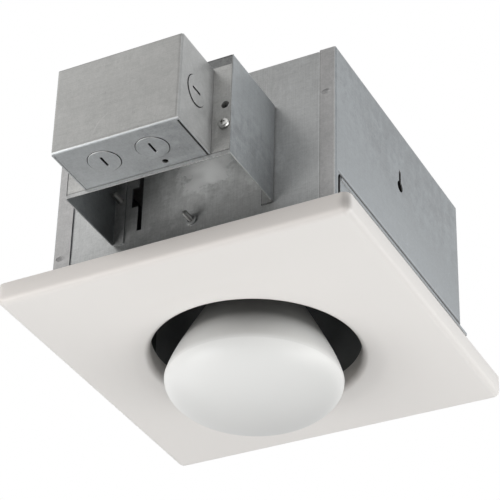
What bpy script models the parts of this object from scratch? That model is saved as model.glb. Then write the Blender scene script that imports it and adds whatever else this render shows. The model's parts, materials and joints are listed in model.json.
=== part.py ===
# Bathroom ceiling heater: a steel housing for a ceiling joist bay, with a wiring box in front,
# a black can round a reflector heat lamp, and a white face plate under the ceiling.
# Metres, +Z up. The ceiling is the plane z = 0 and the origin is the middle of the housing there.
# -Y is the side of the wiring box.

import math

import bmesh
import bpy
from mathutils import Matrix, Vector

# Sheet metal and clearances
SHEET = 0.0008
GAP = 0.0003
OVERRUN = 0.003
FOLD_RADIUS = 0.0016
HOLE_CLEARANCE = 0.0004

# Housing
HOUSING_SIDE = 0.219
HOUSING_TOP = 0.1453
HOUSING_FOOT = 0.001
LEFT_FLANGE = 0.0138
RIGHT_FLANGE = 0.0122
KEYHOLE_Y = -0.0006
KEYHOLE_Z = 0.0948
KEYHOLE_D = 0.009
KEYHOLE_SLOT = 0.0035
KEYHOLE_TOP = 0.1088
CUT_SETBACK = 0.0037
CUT_TOP = 0.040
CUT_RADIUS = 0.005
SLOT_INSET = 0.0204
SLOT_WIDTH = 0.0035
SLOT_LOW = 0.0344
SLOT_TOP = 0.084
NOTCH_WIDTH = 0.0052
NOTCH_LOW = 0.055
NOTCH_TOP = 0.0715

# Side skirts
SKIRT_SETBACK = 0.0097
SKIRT_LAP = 0.003
TAIL_LOW = 0.037
TAIL_HEIGHT = 0.0025
TAIL_REACH = 0.0125
RIB_DEPTH = 0.0007

# Channel box in front of the housing
CHANNEL_X = 0.0009
CHANNEL_ROOM = 0.0298
CHANNEL_FOOT = 0.0263
CHANNEL_TOP = 0.1083
CHANNEL_FLANGE = 0.0091
CHANNEL_CROWN = 0.006
LIP_HEIGHT = 0.0025
VISOR_HEIGHT = 0.0076
VISOR_DEPTH = 0.0038
TAB_WIDTH = 0.012
TAB_HEIGHT = 0.016
TONGUE_HEIGHT = 0.014
TONGUE_REACH = 0.0024
TONGUE_Z = 0.066

# Wiring panel, set back in the channel box
PANEL_SETBACK = 0.0025
PANEL_TOP = 0.1003
PANEL_SCREW_SPACE = 0.0091
PANEL_SCREW_Z = 0.051
PANEL_HOLE_Z = 0.0672
PANEL_HOLE_D = 0.0058

# Wiring box
BOX_SHEET = 0.001
BOX_X = 0.0012
BOX_WIDTH = 0.0952
BOX_FRONT = -0.2165
BOX_DEPTH = 0.0447
BOX_FOOT = 0.0293
BOX_TOP = 0.099
BOX_FOLD = 0.0025
SEAM_LEFT = 0.0004
SEAM_RIGHT = 0.0016
SEAM_START_SHARE = 1.3
BOX_TAB_WIDTH = 0.011
BOX_TAB_HEIGHT = 0.03
BOX_TAB_Z = 0.062
KNOCKOUT_D = 0.0222
KNOCKOUT_GAP = 0.0005
KNOCKOUT_SLOT_LENGTH = 0.0104
KNOCKOUT_SLOT_WIDTH = 0.0016
KNOCKOUT_OFFSET = 0.00055
KNOCKOUT_LEFT_X = -0.0178
KNOCKOUT_RIGHT_X = 0.0183
KNOCKOUT_SIDE_Z = 0.0652
SMALL_HOLE_X = 0.0184
SMALL_HOLE_INSET = 0.0058
SMALL_HOLE_D = 0.0045

# Screws and rivets
LONG_SCREW_D = 0.0042
LONG_SCREW_REACH = 0.0112
LONG_SCREW_HEAD_D = 0.0085
LONG_SCREW_HEAD = 0.0026
SCREW_POINT = 0.003
SCREW_CROWN_SHARE = 0.32
CHANNEL_SCREW_INSET = 0.005
CHANNEL_SCREW_Z = 0.0628
BRACKET_SCREW_X = 0.0004
BRACKET_SCREW_Z = 0.0305
BOSS_D = 0.0084
BOSS_HEIGHT = 0.0016
PANEL_SCREW_D = 0.0042
PANEL_SCREW_HEAD_D = 0.008
PANEL_SCREW_HEAD = 0.003
PANEL_SCREW_LENGTH = 0.009
RIVET_D = 0.0032
RIVET_HEAD_D = 0.0062
RIVET_HEAD = 0.0012
RIVET_CROWN_SHARE = 0.3

# Lamp, with its lowest point under the ceiling
LAMP_X = -0.0042
LAMP_Y = -0.0016
LAMP_LOW = -0.0655
LAMP_D = 0.127
LAMP_LENGTH = 0.165
LAMP_WALL = 0.001
LAMP_BOWL_HEIGHT = 0.027
BOWL_EXPONENT = 2.1
BOWL_STEPS = 8
CONE_HEIGHT_SHARES = (0.73, 0.61, 0.515, 0.41, 0.315, 0.218)
CONE_RADIUS_SHARES = (0.287, 0.425, 0.555, 0.706, 0.835, 0.952)
NECK_D = 0.0246
NECK_LOW = 0.135
NECK_END = 0.1445
CAP_D = 0.0261
CAP_WALL = 0.00035
CAP_LOW = 0.138
CAP_TOP = 0.1585
CAP_SHOULDER = 0.0025
INSULATOR_D = 0.0165
INSULATOR_TOP_D = 0.0105
INSULATOR_HEIGHT = 0.0034
CONTACT_D = 0.0095
CONTACT_HEIGHT = 0.0009
STEM_D = 0.008
STEM_FLANGE = 0.0015
STEM_LOW = 0.094
STEM_TAPER_SHARE = 1.5
FILAMENT_WIRE_D = 0.0008
FILAMENT_RING_D = 0.036
FILAMENT_Z = 0.062
FILAMENT_OPENING = math.radians(50)
THREAD_CLEARANCE = 0.0003

# Lampholder
HOLDER_D = 0.042
HOLDER_MOUTH = 0.143
HOLDER_ROOF = 0.0065
HOLDER_EDGE = 0.002
SHELL_WALL = 0.0005
SHELL_RECESS = 0.0015
SPRING_CONTACT_WIDTH = 0.008
SPRING_CONTACT_SHEET = 0.0006
CONTACT_REACH_SHARE = 0.9
TERMINAL_D = 0.0055
TERMINAL_HEIGHT = 0.0015
TERMINAL_OFFSET = 0.0145
HAT_WIDTH = 0.016
HAT_SPAN = 0.06
HAT_EAR = 0.014
EAR_HOLE_SHARE = 0.55
HAT_SHEET = 0.001
HOLDER_SCREW_OFFSET = 0.0165
HOLDER_SCREW_LENGTH = 0.006

# Can round the lamp
CAN_INSIDE_D = 0.158
CAN_SHEET = 0.0005
CAN_FOOT = -0.008
CAN_TOP = 0.122
CAN_SEAM_ANGLE = math.radians(183.6)
CAN_LAP_ANGLE = math.radians(9)
CAN_RIM = 0.008
LID_BEND = 0.0015
LID_BEND_SHARE = 0.3
RIM_CLEARANCE = 0.0008
CAN_STEPS = 52
LAP_STEPS = 3
BRACKET_SHEET = 0.001
BRACKET_WIDTH = 0.020
BRACKET_FOOT = 0.020
BRACKET_SHELF = 0.041
BRACKET_TOP = 0.057
BRACKET_RIVET_Z = 0.050

# Face plate and its springs
PLATE_X = -0.0032
PLATE_Y = -0.0013
PLATE_SIDE = 0.267
PLATE_SHEET = 0.0012
PLATE_RIM = 0.0158
PLATE_CORNER = 0.0055
PLATE_BEND = 0.0048
PLATE_CROWN = 0.0043
OPENING_D = 0.1504
OPENING_BEND = 0.0046
COLLAR_TOP = -0.0056
SPRING_SHEET = 0.0006
SPRING_WIDTH = 0.012
SPRING_FOOT_START = 0.0865
SPRING_FOOT_END = 0.0975
SPRING_NECK_X = 0.1005
SPRING_NECK_Z = 0.006
SPRING_BULGE_Z = 0.046
SPRING_TIP_X = 0.1015
SPRING_TIP_Z = 0.058
STUD_D = 0.003
STUD_HEAD_D = 0.0064

# Thermal cut-out on the can
CUTOUT_X = 0.034
CUTOUT_Y = -0.040
CUTOUT_D = 0.0155
CUTOUT_HEIGHT = 0.0085
CUTOUT_EAR_LENGTH = 0.034
CUTOUT_EAR_WIDTH = 0.009
CUTOUT_RIVET_OFFSET = 0.0125
BLADE_WIDTH = 0.0048
BLADE_SHEET = 0.0008
BLADE_HEIGHT = 0.006
BLADE_OFFSET = 0.0045

# Leads, earth and bushings
LEAD_D = 0.0024
BUSHING_BORE = 0.009
BUSHING_WALL = 0.0018
BUSHING_FLANGE = 0.0022
BUSHING_LIP = 0.0012
LEAD_INSET = 0.0108
LEAD_Z = 0.087
LEAD_SPREAD = 0.0034
CAN_BUSHING_OFFSET = 0.031
EARTH_INSET = 0.0224
EARTH_Z = 0.047
EARTH_WIRE_D = 0.0016
LEAD_RUN_SHARES = (0.75, 0.5, 0.2)
LEAD_RISE_SHARES = (0.1, 0.55)
LEAD_DROP_SHARE = 0.6
BLACK_DROP_SHARE = 0.6
WHITE_DROP_SHARE = 0.35
LID_ENTRY_SHARE = 0.8
EARTH_RUN_SHARES = (0.5, 0.8)

# Counts that set how finely round shapes are divided
ROUND_STEPS = 28
SMALL_STEPS = 12
LAMP_STEPS = 36
FOLD_SEGMENTS = 2
SIDE_STEPS = 12
CORNER_STEPS = 4
FACE_STEPS = 3
BEND_STEPS = 3
FILAMENT_STEPS = 16

# Places worked out from the sizes above
HALF = HOUSING_SIDE / 2
WRAP_HALF = HALF - SHEET - GAP
WRAP_INSIDE = WRAP_HALF - SHEET
WRAP_TOP = HOUSING_TOP - SHEET - GAP
CUT_FRONT = -HALF + CUT_SETBACK
SKIRT_FRONT = -HALF + SKIRT_SETBACK
TAIL_END = HALF + TAIL_REACH
CHANNEL_BACK = -WRAP_HALF - GAP
CHANNEL_WIDTH = BOX_WIDTH + CHANNEL_ROOM
CHANNEL_LEFT = CHANNEL_X - CHANNEL_WIDTH / 2
CHANNEL_RIGHT = CHANNEL_X + CHANNEL_WIDTH / 2
CHANNEL_SCREW_X = CHANNEL_WIDTH / 2 - CHANNEL_SCREW_INSET
SLOT_X = CHANNEL_LEFT + SLOT_INSET
BOX_BACK = BOX_FRONT + BOX_DEPTH
PANEL_FRONT = BOX_BACK + GAP
CHANNEL_FRONT = PANEL_FRONT - PANEL_SETBACK
PANEL_BACK = PANEL_FRONT + SHEET
PANEL_FOOT = CHANNEL_FOOT + LIP_HEIGHT + GAP
BOX_LEFT = BOX_X - BOX_WIDTH / 2
BOX_RIGHT = BOX_X + BOX_WIDTH / 2
KNOCKOUT_Y = (BOX_FRONT + BOX_BACK) / 2 - KNOCKOUT_OFFSET
SMALL_HOLE_Y = BOX_BACK - SMALL_HOLE_INSET
PANEL_SCREW_X = BOX_RIGHT + PANEL_SCREW_SPACE
LEAD_X = BOX_RIGHT - LEAD_INSET
EARTH_X = BOX_LEFT + EARTH_INSET
LAMP_TOP = LAMP_LOW + LAMP_LENGTH
CAN_RADIUS = CAN_INSIDE_D / 2
CAN_OUTSIDE = CAN_RADIUS + CAN_SHEET
CAN_ROOF = CAN_TOP + GAP + CAN_SHEET
HOLDER_CEILING = LAMP_TOP + GAP + SPRING_CONTACT_SHEET + GAP
HOLDER_TOP = HOLDER_CEILING + HOLDER_ROOF
HAT_LOW = HOLDER_TOP + GAP
SHELL_RADIUS = CAP_D / 2 + THREAD_CLEARANCE

# Looks: colour, roughness, metallic
GALVANISED = ((0.40, 0.41, 0.40), 0.42, 0.9)
BOX_STEEL = ((0.45, 0.46, 0.45), 0.40, 0.9)
ZINC = ((0.48, 0.48, 0.46), 0.32, 1.0)
WHITE_ENAMEL = ((0.80, 0.77, 0.73), 0.38, 0.0)
BLACK_ENAMEL = ((0.02, 0.02, 0.02), 0.55, 0.0)
FROSTED_GLASS = ((0.78, 0.79, 0.79), 0.35, 0.0)
BRASS = ((0.72, 0.52, 0.22), 0.30, 1.0)
PORCELAIN = ((0.86, 0.84, 0.79), 0.25, 0.0)
BLACK_GLASS = ((0.03, 0.03, 0.04), 0.15, 0.0)
CLEAR_GLASS = ((0.82, 0.86, 0.86), 0.08, 0.0)
TUNGSTEN = ((0.30, 0.29, 0.28), 0.45, 1.0)
SPRING_STEEL = ((0.35, 0.36, 0.38), 0.30, 1.0)
PHENOLIC = ((0.06, 0.05, 0.05), 0.45, 0.0)
BLACK_WIRE = ((0.03, 0.03, 0.03), 0.5, 0.0)
WHITE_WIRE = ((0.78, 0.78, 0.75), 0.5, 0.0)
COPPER = ((0.75, 0.40, 0.25), 0.35, 1.0)
GREEN_STEEL = ((0.05, 0.30, 0.12), 0.35, 0.6)
NYLON = ((0.05, 0.05, 0.05), 0.45, 0.0)

# Ways that an axis can point
AXIS_TURNS = {
    "+X": Matrix.Rotation(math.radians(90), 4, "Y"),
    "-X": Matrix.Rotation(math.radians(-90), 4, "Y"),
    "+Y": Matrix.Rotation(math.radians(-90), 4, "X"),
    "-Y": Matrix.Rotation(math.radians(90), 4, "X"),
    "+Z": Matrix.Identity(4),
    "-Z": Matrix.Rotation(math.radians(180), 4, "X"),
}


def empty_scene():
    for old in list(bpy.data.objects):
        bpy.data.objects.remove(old)


def new_collection(name, shown):
    collection = bpy.data.collections.new(name)
    bpy.context.scene.collection.children.link(collection)
    collection.hide_render = not shown
    return collection


def put(name, data, place, look=None):
    """Puts a mesh or curve in the scene: with a look it is a sub-part, without one a cutter."""
    piece = bpy.data.objects.new(name, data)
    piece.location = place
    if look:
        colour, roughness, metallic = look
        material = bpy.data.materials.new(name)
        material.use_nodes = True
        shader = material.node_tree.nodes["Principled BSDF"]
        shader.inputs["Base Color"].default_value = (*colour, 1.0)
        shader.inputs["Roughness"].default_value = roughness
        shader.inputs["Metallic"].default_value = metallic
        data.materials.append(material)
        heater.objects.link(piece)
    else:
        piece.hide_render = True
        piece.display_type = "WIRE"
        cutters.objects.link(piece)
    return piece


def mesh_from(bm, name):
    data = bpy.data.meshes.new(name)
    bm.to_mesh(data)
    bm.free()
    return data


def block(name, low, high, look=None, rounded=None, radius=0):
    """A box between two corners; rounded names the axis whose four edges are rounded."""
    low, high = Vector(low), Vector(high)
    size = high - low
    bm = bmesh.new()
    bmesh.ops.create_cube(bm, size=1, matrix=Matrix.Diagonal((*size, 1)))
    if rounded:
        along = "XYZ".index(rounded)
        edges = [edge for edge in bm.edges
                 if abs((edge.verts[0].co - edge.verts[1].co)[along]) > size[along] / 2]
        bmesh.ops.bevel(bm, geom=edges, offset=radius, segments=FOLD_SEGMENTS * 2,
                        profile=0.5, affect="EDGES")
    return put(name, mesh_from(bm, name), (low + high) / 2, look)


def folded_box(name, low, high, open_sides, sheet, radius, look, front_only=False):
    """A box of folded sheet: some sides are left out, the folds are rounded, the wall goes inwards."""
    low, high = Vector(low), Vector(high)
    bm = bmesh.new()
    bmesh.ops.create_cube(bm, size=1, matrix=Matrix.Diagonal((*(high - low), 1)))
    for side in open_sides:
        along = "XYZ".index(side[1])
        sign = 1 if side[0] == "+" else -1
        left_out = [face for face in bm.faces if face.normal[along] * sign > 0.5]
        bmesh.ops.delete(bm, geom=left_out, context="FACES_ONLY")
    loose = [edge for edge in bm.edges if not edge.link_faces]
    bmesh.ops.delete(bm, geom=loose, context="EDGES")
    folds = [edge for edge in bm.edges if len(edge.link_faces) == 2]
    if front_only:
        folds = [edge for edge in folds if all(vert.co.y < 0 for vert in edge.verts)]
    bmesh.ops.bevel(bm, geom=folds, offset=radius, segments=FOLD_SEGMENTS, profile=0.5, affect="EDGES")
    piece = put(name, mesh_from(bm, name), (low + high) / 2, look)
    thicken(piece, sheet)
    return piece


def thicken(piece, sheet):
    wall = piece.modifiers.new("Wall", "SOLIDIFY")
    wall.thickness = sheet
    wall.offset = -1
    wall.use_even_offset = True
    wall.use_quality_normals = True


def rod(name, centre, diameter, length, axis="+Z", look=None, steps=ROUND_STEPS):
    """A plain cylinder about its middle."""
    bm = bmesh.new()
    bmesh.ops.create_cone(bm, cap_ends=True, segments=steps, radius1=diameter / 2, radius2=diameter / 2,
                          depth=length, matrix=AXIS_TURNS[axis])
    return put(name, mesh_from(bm, name), centre, look)


def turned(name, place, profile, look=None, steps=ROUND_STEPS, axis="+Z"):
    """A turned piece: (radius, height) points that run down its outer side, swept about its axis."""
    data = bpy.data.meshes.new(name)
    edges = [(i, i + 1) for i in range(len(profile) - 1)]
    data.from_pydata([(radius, 0, height) for radius, height in profile], edges, [])
    piece = put(name, data, place, look)
    piece.rotation_euler = AXIS_TURNS[axis].to_euler()
    sweep = piece.modifiers.new("Turn", "SCREW")
    sweep.steps = steps
    sweep.render_steps = steps
    sweep.use_merge_vertices = True
    sweep.merge_threshold = 0.00001
    return piece


def strip(name, place, path, across, sheet, radius, look, turn=0):
    """A strip folded along a path: its fold lines are drawn out across, rounded and given a wall."""
    across = Vector(across)
    bm = bmesh.new()
    verts = [bm.verts.new(Vector(point) - across / 2) for point in path]
    edges = [bm.edges.new(pair) for pair in zip(verts, verts[1:])]
    drawn = bmesh.ops.extrude_edge_only(bm, edges=edges)["geom"]
    bmesh.ops.translate(bm, vec=across, verts=[v for v in drawn if isinstance(v, bmesh.types.BMVert)])
    if radius:
        folds = [edge for edge in bm.edges if len(edge.link_faces) == 2]
        bmesh.ops.bevel(bm, geom=folds, offset=radius, segments=FOLD_SEGMENTS, profile=0.5, affect="EDGES")
    piece = put(name, mesh_from(bm, name), place, look)
    piece.rotation_euler.z = turn
    thicken(piece, sheet)
    return piece


def wire(name, points, diameter, look, place=(0, 0, 0)):
    """A round wire through points."""
    curve = bpy.data.curves.new(name, "CURVE")
    curve.dimensions = "3D"
    curve.bevel_depth = diameter / 2
    curve.bevel_resolution = 2
    curve.use_fill_caps = True
    spline = curve.splines.new("POLY")
    spline.points.add(len(points) - 1)
    for point, where in zip(spline.points, points):
        point.co = (*(Vector(where) - Vector(place)), 1)
    return put(name, curve, place, look)


def smooth_path(points, steps):
    """A Catmull-Rom curve through the points, with its ends kept."""
    points = [Vector(point) for point in points]
    ends = [points[0] * 2 - points[1]] + points + [points[-1] * 2 - points[-2]]
    path = [points[0]]
    for before, start, end, after in zip(ends, ends[1:], ends[2:], ends[3:]):
        for step in range(1, steps + 1):
            t = step / steps
            path.append(0.5 * (2 * start + (end - before) * t
                               + (2 * before - 5 * start + 4 * end - after) * t ** 2
                               + (3 * start - before - 3 * end + after) * t ** 3))
    return path


def cut(piece, *tools):
    for tool in tools:
        hole = piece.modifiers.new(tool.name, "BOOLEAN")
        hole.operation = "DIFFERENCE"
        hole.object = tool


def join(piece, *others):
    for other in others:
        weld = piece.modifiers.new(other.name, "BOOLEAN")
        weld.operation = "UNION"
        weld.object = other


def smooth(*pieces):
    for piece in pieces:
        for polygon in piece.data.polygons:
            polygon.use_smooth = True
        for modifier in piece.modifiers:
            if modifier.type == "SCREW":
                modifier.use_smooth_shade = True


def carry(parent, *pieces):
    """Parents pieces to an empty that stands upright in the scene, where they are."""
    for piece in pieces:
        piece.parent = parent
        piece.location = piece.location - parent.location


def hole(name, centre, diameter, axis):
    return rod(name, centre, diameter, OVERRUN * 2, axis)


# Housing


def housing_wrap():
    """Front, top and back panel, folded from one sheet."""
    wrap = folded_box("housing_wrap", (-WRAP_HALF, -WRAP_HALF, HOUSING_FOOT),
                      (WRAP_HALF, WRAP_HALF, WRAP_TOP), ("-X", "+X", "-Z"), SHEET, FOLD_RADIUS,
                      GALVANISED)
    boss = rod("wrap_boss", (BRACKET_SCREW_X, -WRAP_HALF - BOSS_HEIGHT / 2 + SHEET / 4, BRACKET_SCREW_Z),
               BOSS_D, BOSS_HEIGHT + SHEET / 2, "+Y", steps=SMALL_STEPS)
    join(wrap, boss)
    panel_low, panel_high = -WRAP_HALF - OVERRUN, -WRAP_HALF + OVERRUN
    slot = block("wrap_slot", (SLOT_X - SLOT_WIDTH / 2, panel_low, SLOT_LOW),
                 (SLOT_X + SLOT_WIDTH / 2, panel_high, SLOT_TOP))
    notch = block("wrap_notch", (SLOT_X - SLOT_WIDTH / 2 - NOTCH_WIDTH, panel_low, NOTCH_LOW),
                  (SLOT_X, panel_high, NOTCH_TOP))
    cut(wrap, slot, notch)
    screw_hole = LONG_SCREW_D + HOLE_CLEARANCE * 2
    cut(wrap, rod("wrap_front_hole", (BRACKET_SCREW_X, -WRAP_HALF, BRACKET_SCREW_Z), screw_hole,
                  OVERRUN * 2, "+Y", steps=SMALL_STEPS),
        rod("wrap_rear_hole", (BRACKET_SCREW_X, WRAP_HALF, BRACKET_SCREW_Z), screw_hole,
            OVERRUN * 2, "+Y", steps=SMALL_STEPS))
    notch_low, notch_top = TAIL_LOW - GAP, TAIL_LOW + TAIL_HEIGHT + GAP
    for side in (-1, 1):
        screw_x = CHANNEL_X + side * CHANNEL_SCREW_X
        notch_left = side * WRAP_HALF - (SHEET + GAP if side > 0 else OVERRUN)
        notch_right = side * WRAP_HALF + (SHEET + GAP if side < 0 else OVERRUN)
        cut(wrap, rod("wrap_channel_hole", (screw_x, -WRAP_HALF, CHANNEL_SCREW_Z), screw_hole,
                      OVERRUN * 2, "+Y", steps=SMALL_STEPS),
            block("wrap_tail_notch", (notch_left, WRAP_INSIDE - OVERRUN, notch_low),
                  (notch_right, WRAP_HALF + OVERRUN, notch_top)))
    cut(wrap, hole("wrap_bushing_hole", (LEAD_X, -WRAP_HALF, LEAD_Z), bushing_neck() + GAP * 2, "+Y"))
    return wrap


def side_panel(name, side, flange):
    """Side panel with flanges over the front, back and top, a keyhole and a cut-away foot."""
    inner, outer = side * (HALF - flange), side * HALF
    low_x, high_x = min(inner, outer), max(inner, outer)
    panel = folded_box(name, (low_x, -HALF, HOUSING_FOOT), (high_x, HALF, HOUSING_TOP),
                       ("-X" if side > 0 else "+X", "-Z"), SHEET, FOLD_RADIUS, GALVANISED)
    cut_away = block(name + "_cut_away", (low_x - OVERRUN, CUT_FRONT, HOUSING_FOOT - CUT_RADIUS - OVERRUN),
                     (high_x + OVERRUN, HALF + CUT_RADIUS + OVERRUN, CUT_TOP),
                     rounded="X", radius=CUT_RADIUS)
    slot_centre = KEYHOLE_TOP - KEYHOLE_SLOT / 2
    keyhole = hole(name + "_keyhole", (outer, KEYHOLE_Y, KEYHOLE_Z), KEYHOLE_D, "+X")
    slot = block(name + "_slot", (outer - OVERRUN, KEYHOLE_Y - KEYHOLE_SLOT / 2, KEYHOLE_Z),
                 (outer + OVERRUN, KEYHOLE_Y + KEYHOLE_SLOT / 2, slot_centre))
    slot_end = rod(name + "_slot_end", (outer, KEYHOLE_Y, slot_centre), KEYHOLE_SLOT, OVERRUN * 2, "+X",
                   steps=SMALL_STEPS)
    cut(panel, cut_away, keyhole, slot, slot_end)
    return panel


def skirt(name, side):
    """Strip inside the cut-away foot, with a rib that runs on as a tail behind the back panel."""
    inside, middle = side * (WRAP_HALF - SHEET), side * (WRAP_HALF - SHEET / 2)
    outside, proud = side * WRAP_HALF, side * (WRAP_HALF + RIB_DEPTH)
    sheet = block(name, (min(inside, outside), SKIRT_FRONT, HOUSING_FOOT),
                  (max(inside, outside), WRAP_INSIDE - GAP, CUT_TOP + SKIRT_LAP), GALVANISED)
    rib = block(name + "_rib", (min(middle, proud), SKIRT_FRONT + RIB_DEPTH, TAIL_LOW),
                (max(middle, proud), TAIL_END, TAIL_LOW + TAIL_HEIGHT))
    join(sheet, rib)
    return sheet


# Channel box and wiring panel


def channel_box():
    """Box in front of the housing, open underneath, flanged onto the front panel."""
    channel = folded_box("channel_box", (CHANNEL_LEFT, CHANNEL_FRONT, CHANNEL_FOOT),
                         (CHANNEL_RIGHT, CHANNEL_BACK, CHANNEL_TOP), ("-Z",), SHEET, FOLD_RADIUS, GALVANISED)
    mouth = block("channel_mouth",
                  (CHANNEL_LEFT + SHEET, CHANNEL_FRONT - OVERRUN, CHANNEL_FOOT + LIP_HEIGHT),
                  (CHANNEL_RIGHT - SHEET, CHANNEL_FRONT + FOLD_RADIUS, CHANNEL_TOP - SHEET))
    window = block("channel_window",
                   (CHANNEL_LEFT + CHANNEL_FLANGE, CHANNEL_BACK - FOLD_RADIUS, CHANNEL_FOOT - OVERRUN),
                   (CHANNEL_RIGHT - CHANNEL_FLANGE, CHANNEL_BACK + OVERRUN, CHANNEL_TOP - CHANNEL_CROWN))
    cut(channel, mouth, window)
    visor = visor_plate()
    tab_y = PANEL_BACK + GAP
    tab_low, tab_high = PANEL_SCREW_Z - TAB_HEIGHT / 2, PANEL_SCREW_Z + TAB_HEIGHT / 2
    left_tab = block("channel_left_tab", (CHANNEL_LEFT + SHEET / 2, tab_y, tab_low),
                     (CHANNEL_LEFT + TAB_WIDTH, tab_y + SHEET, tab_high))
    right_tab = block("channel_right_tab", (CHANNEL_RIGHT - TAB_WIDTH, tab_y, tab_low),
                      (CHANNEL_RIGHT - SHEET / 2, tab_y + SHEET, tab_high))
    join(channel, visor, left_tab, right_tab)
    tongue_slot = block("channel_tongue_slot",
                        (CHANNEL_LEFT - OVERRUN, PANEL_FRONT - GAP, TONGUE_Z - TONGUE_HEIGHT / 2 - GAP),
                        (CHANNEL_LEFT + SHEET + SHEET / 2, PANEL_BACK + GAP / 2,
                         TONGUE_Z + TONGUE_HEIGHT / 2 + GAP))
    panel_hole = rod("channel_panel_hole", (PANEL_SCREW_X, tab_y, PANEL_SCREW_Z),
                     PANEL_SCREW_D + HOLE_CLEARANCE * 2, OVERRUN * 2, "+Y", steps=SMALL_STEPS)
    cut(channel, tongue_slot, panel_hole)
    for side in (-1, 1):
        screw_x = CHANNEL_X + side * CHANNEL_SCREW_X
        cut(channel, rod("channel_screw_hole", (screw_x, CHANNEL_BACK, CHANNEL_SCREW_Z),
                         LONG_SCREW_D + HOLE_CLEARANCE * 2, OVERRUN * 2, "+Y", steps=SMALL_STEPS))
    return channel


def visor_plate():
    """The lip that slants down and back from the channel's top edge."""
    length = math.hypot(VISOR_HEIGHT, VISOR_DEPTH)
    lean = math.atan2(VISOR_DEPTH, VISOR_HEIGHT)
    width = CHANNEL_WIDTH - SHEET
    visor = block("channel_visor", (-width / 2, 0, -length), (width / 2, SHEET, 0))
    corner = Vector((CHANNEL_X, CHANNEL_FRONT + FOLD_RADIUS / 2, CHANNEL_TOP - SHEET / 2))
    middle = Matrix.Rotation(lean, 3, "X") @ visor.location
    visor.rotation_euler.x = lean
    visor.location = corner + middle
    return visor


def wiring_panel():
    """Flat panel in the mouth of the channel box, hooked into its left wall by a tongue."""
    left, right = CHANNEL_LEFT + SHEET + GAP, CHANNEL_RIGHT - SHEET - GAP
    panel = block("wiring_panel", (left, PANEL_FRONT, PANEL_FOOT), (right, PANEL_BACK, PANEL_TOP),
                  GALVANISED)
    tongue = block("panel_tongue", (CHANNEL_LEFT - TONGUE_REACH, PANEL_FRONT, TONGUE_Z - TONGUE_HEIGHT / 2),
                   (left + SHEET, PANEL_BACK, TONGUE_Z + TONGUE_HEIGHT / 2))
    join(panel, tongue)
    screw_hole = PANEL_SCREW_D + HOLE_CLEARANCE * 2
    cut(panel,
        rod("panel_screw_hole", (PANEL_SCREW_X, PANEL_FRONT, PANEL_SCREW_Z), screw_hole, OVERRUN * 2, "+Y",
            steps=SMALL_STEPS),
        rod("panel_sight_hole", (PANEL_SCREW_X, PANEL_FRONT, PANEL_HOLE_Z), PANEL_HOLE_D, OVERRUN * 2, "+Y",
            steps=SMALL_STEPS),
        rod("panel_earth_hole", (EARTH_X, PANEL_FRONT, EARTH_Z), screw_hole, OVERRUN * 2, "+Y",
            steps=SMALL_STEPS),
        hole("panel_bushing_hole", (LEAD_X, PANEL_FRONT, LEAD_Z), bushing_neck() + GAP * 2, "+Y"))
    for x in box_rivet_places():
        cut(panel, rod("panel_rivet_hole", (x, PANEL_FRONT, BOX_TAB_Z), RIVET_D + GAP * 2, OVERRUN * 2, "+Y",
                       steps=SMALL_STEPS))
    return panel


# Wiring box


def box_rivet_places():
    offset = BOX_WIDTH / 2 - BOX_SHEET - BOX_TAB_WIDTH / 2
    return BOX_X - offset, BOX_X + offset


def wiring_box():
    """Box folded from one sheet, open at the panel, its corners left as open seams."""
    box = folded_box("wiring_box", (BOX_LEFT, BOX_FRONT, BOX_FOOT), (BOX_RIGHT, BOX_BACK, BOX_TOP),
                     ("+Y",), BOX_SHEET, BOX_FOLD, BOX_STEEL, front_only=True)
    seam_front = BOX_FRONT + BOX_FOLD * SEAM_START_SHARE
    tab_low, tab_high = BOX_TAB_Z - BOX_TAB_HEIGHT / 2, BOX_TAB_Z + BOX_TAB_HEIGHT / 2
    for x, inwards, seam in ((BOX_LEFT, 1, SEAM_LEFT), (BOX_RIGHT, -1, SEAM_RIGHT)):
        edge = x + inwards * BOX_SHEET
        for z in (BOX_FOOT, BOX_TOP):
            cut(box, block("box_seam", (min(edge, edge + inwards * seam), seam_front, z - BOX_SHEET * 2),
                           (max(edge, edge + inwards * seam), BOX_BACK + OVERRUN, z + BOX_SHEET * 2)))
        tab_inner = edge + inwards * BOX_TAB_WIDTH
        side_wall = x + inwards * BOX_SHEET / 2
        join(box, block("box_tab", (min(side_wall, tab_inner), BOX_BACK - BOX_SHEET, tab_low),
                        (max(side_wall, tab_inner), BOX_BACK, tab_high)))
    for x in box_rivet_places():
        cut(box, rod("box_rivet_hole", (x, BOX_BACK, BOX_TAB_Z), RIVET_D + GAP * 2, OVERRUN * 2, "+Y",
                     steps=SMALL_STEPS))
    opening = KNOCKOUT_D + KNOCKOUT_GAP * 2
    cut(box, hole("box_left_knockout_hole", (KNOCKOUT_LEFT_X, KNOCKOUT_Y, BOX_FOOT), opening, "+Z"),
        hole("box_right_knockout_hole", (KNOCKOUT_RIGHT_X, KNOCKOUT_Y, BOX_FOOT), opening, "+Z"),
        hole("box_side_knockout_hole", (BOX_RIGHT, KNOCKOUT_Y, KNOCKOUT_SIDE_Z), opening, "+X"),
        rod("box_small_hole", (SMALL_HOLE_X, SMALL_HOLE_Y, BOX_FOOT), SMALL_HOLE_D, OVERRUN * 2, "+Z",
            steps=SMALL_STEPS))
    return box


def knockout(name, centre, axis, slot_size):
    """Punched disc with a slot for a screwdriver."""
    disc = rod(name, centre, KNOCKOUT_D, BOX_SHEET, axis, BOX_STEEL)
    half = Vector(slot_size) / 2
    cut(disc, block(name + "_slot", Vector(centre) - half, Vector(centre) + half))
    return disc


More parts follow.
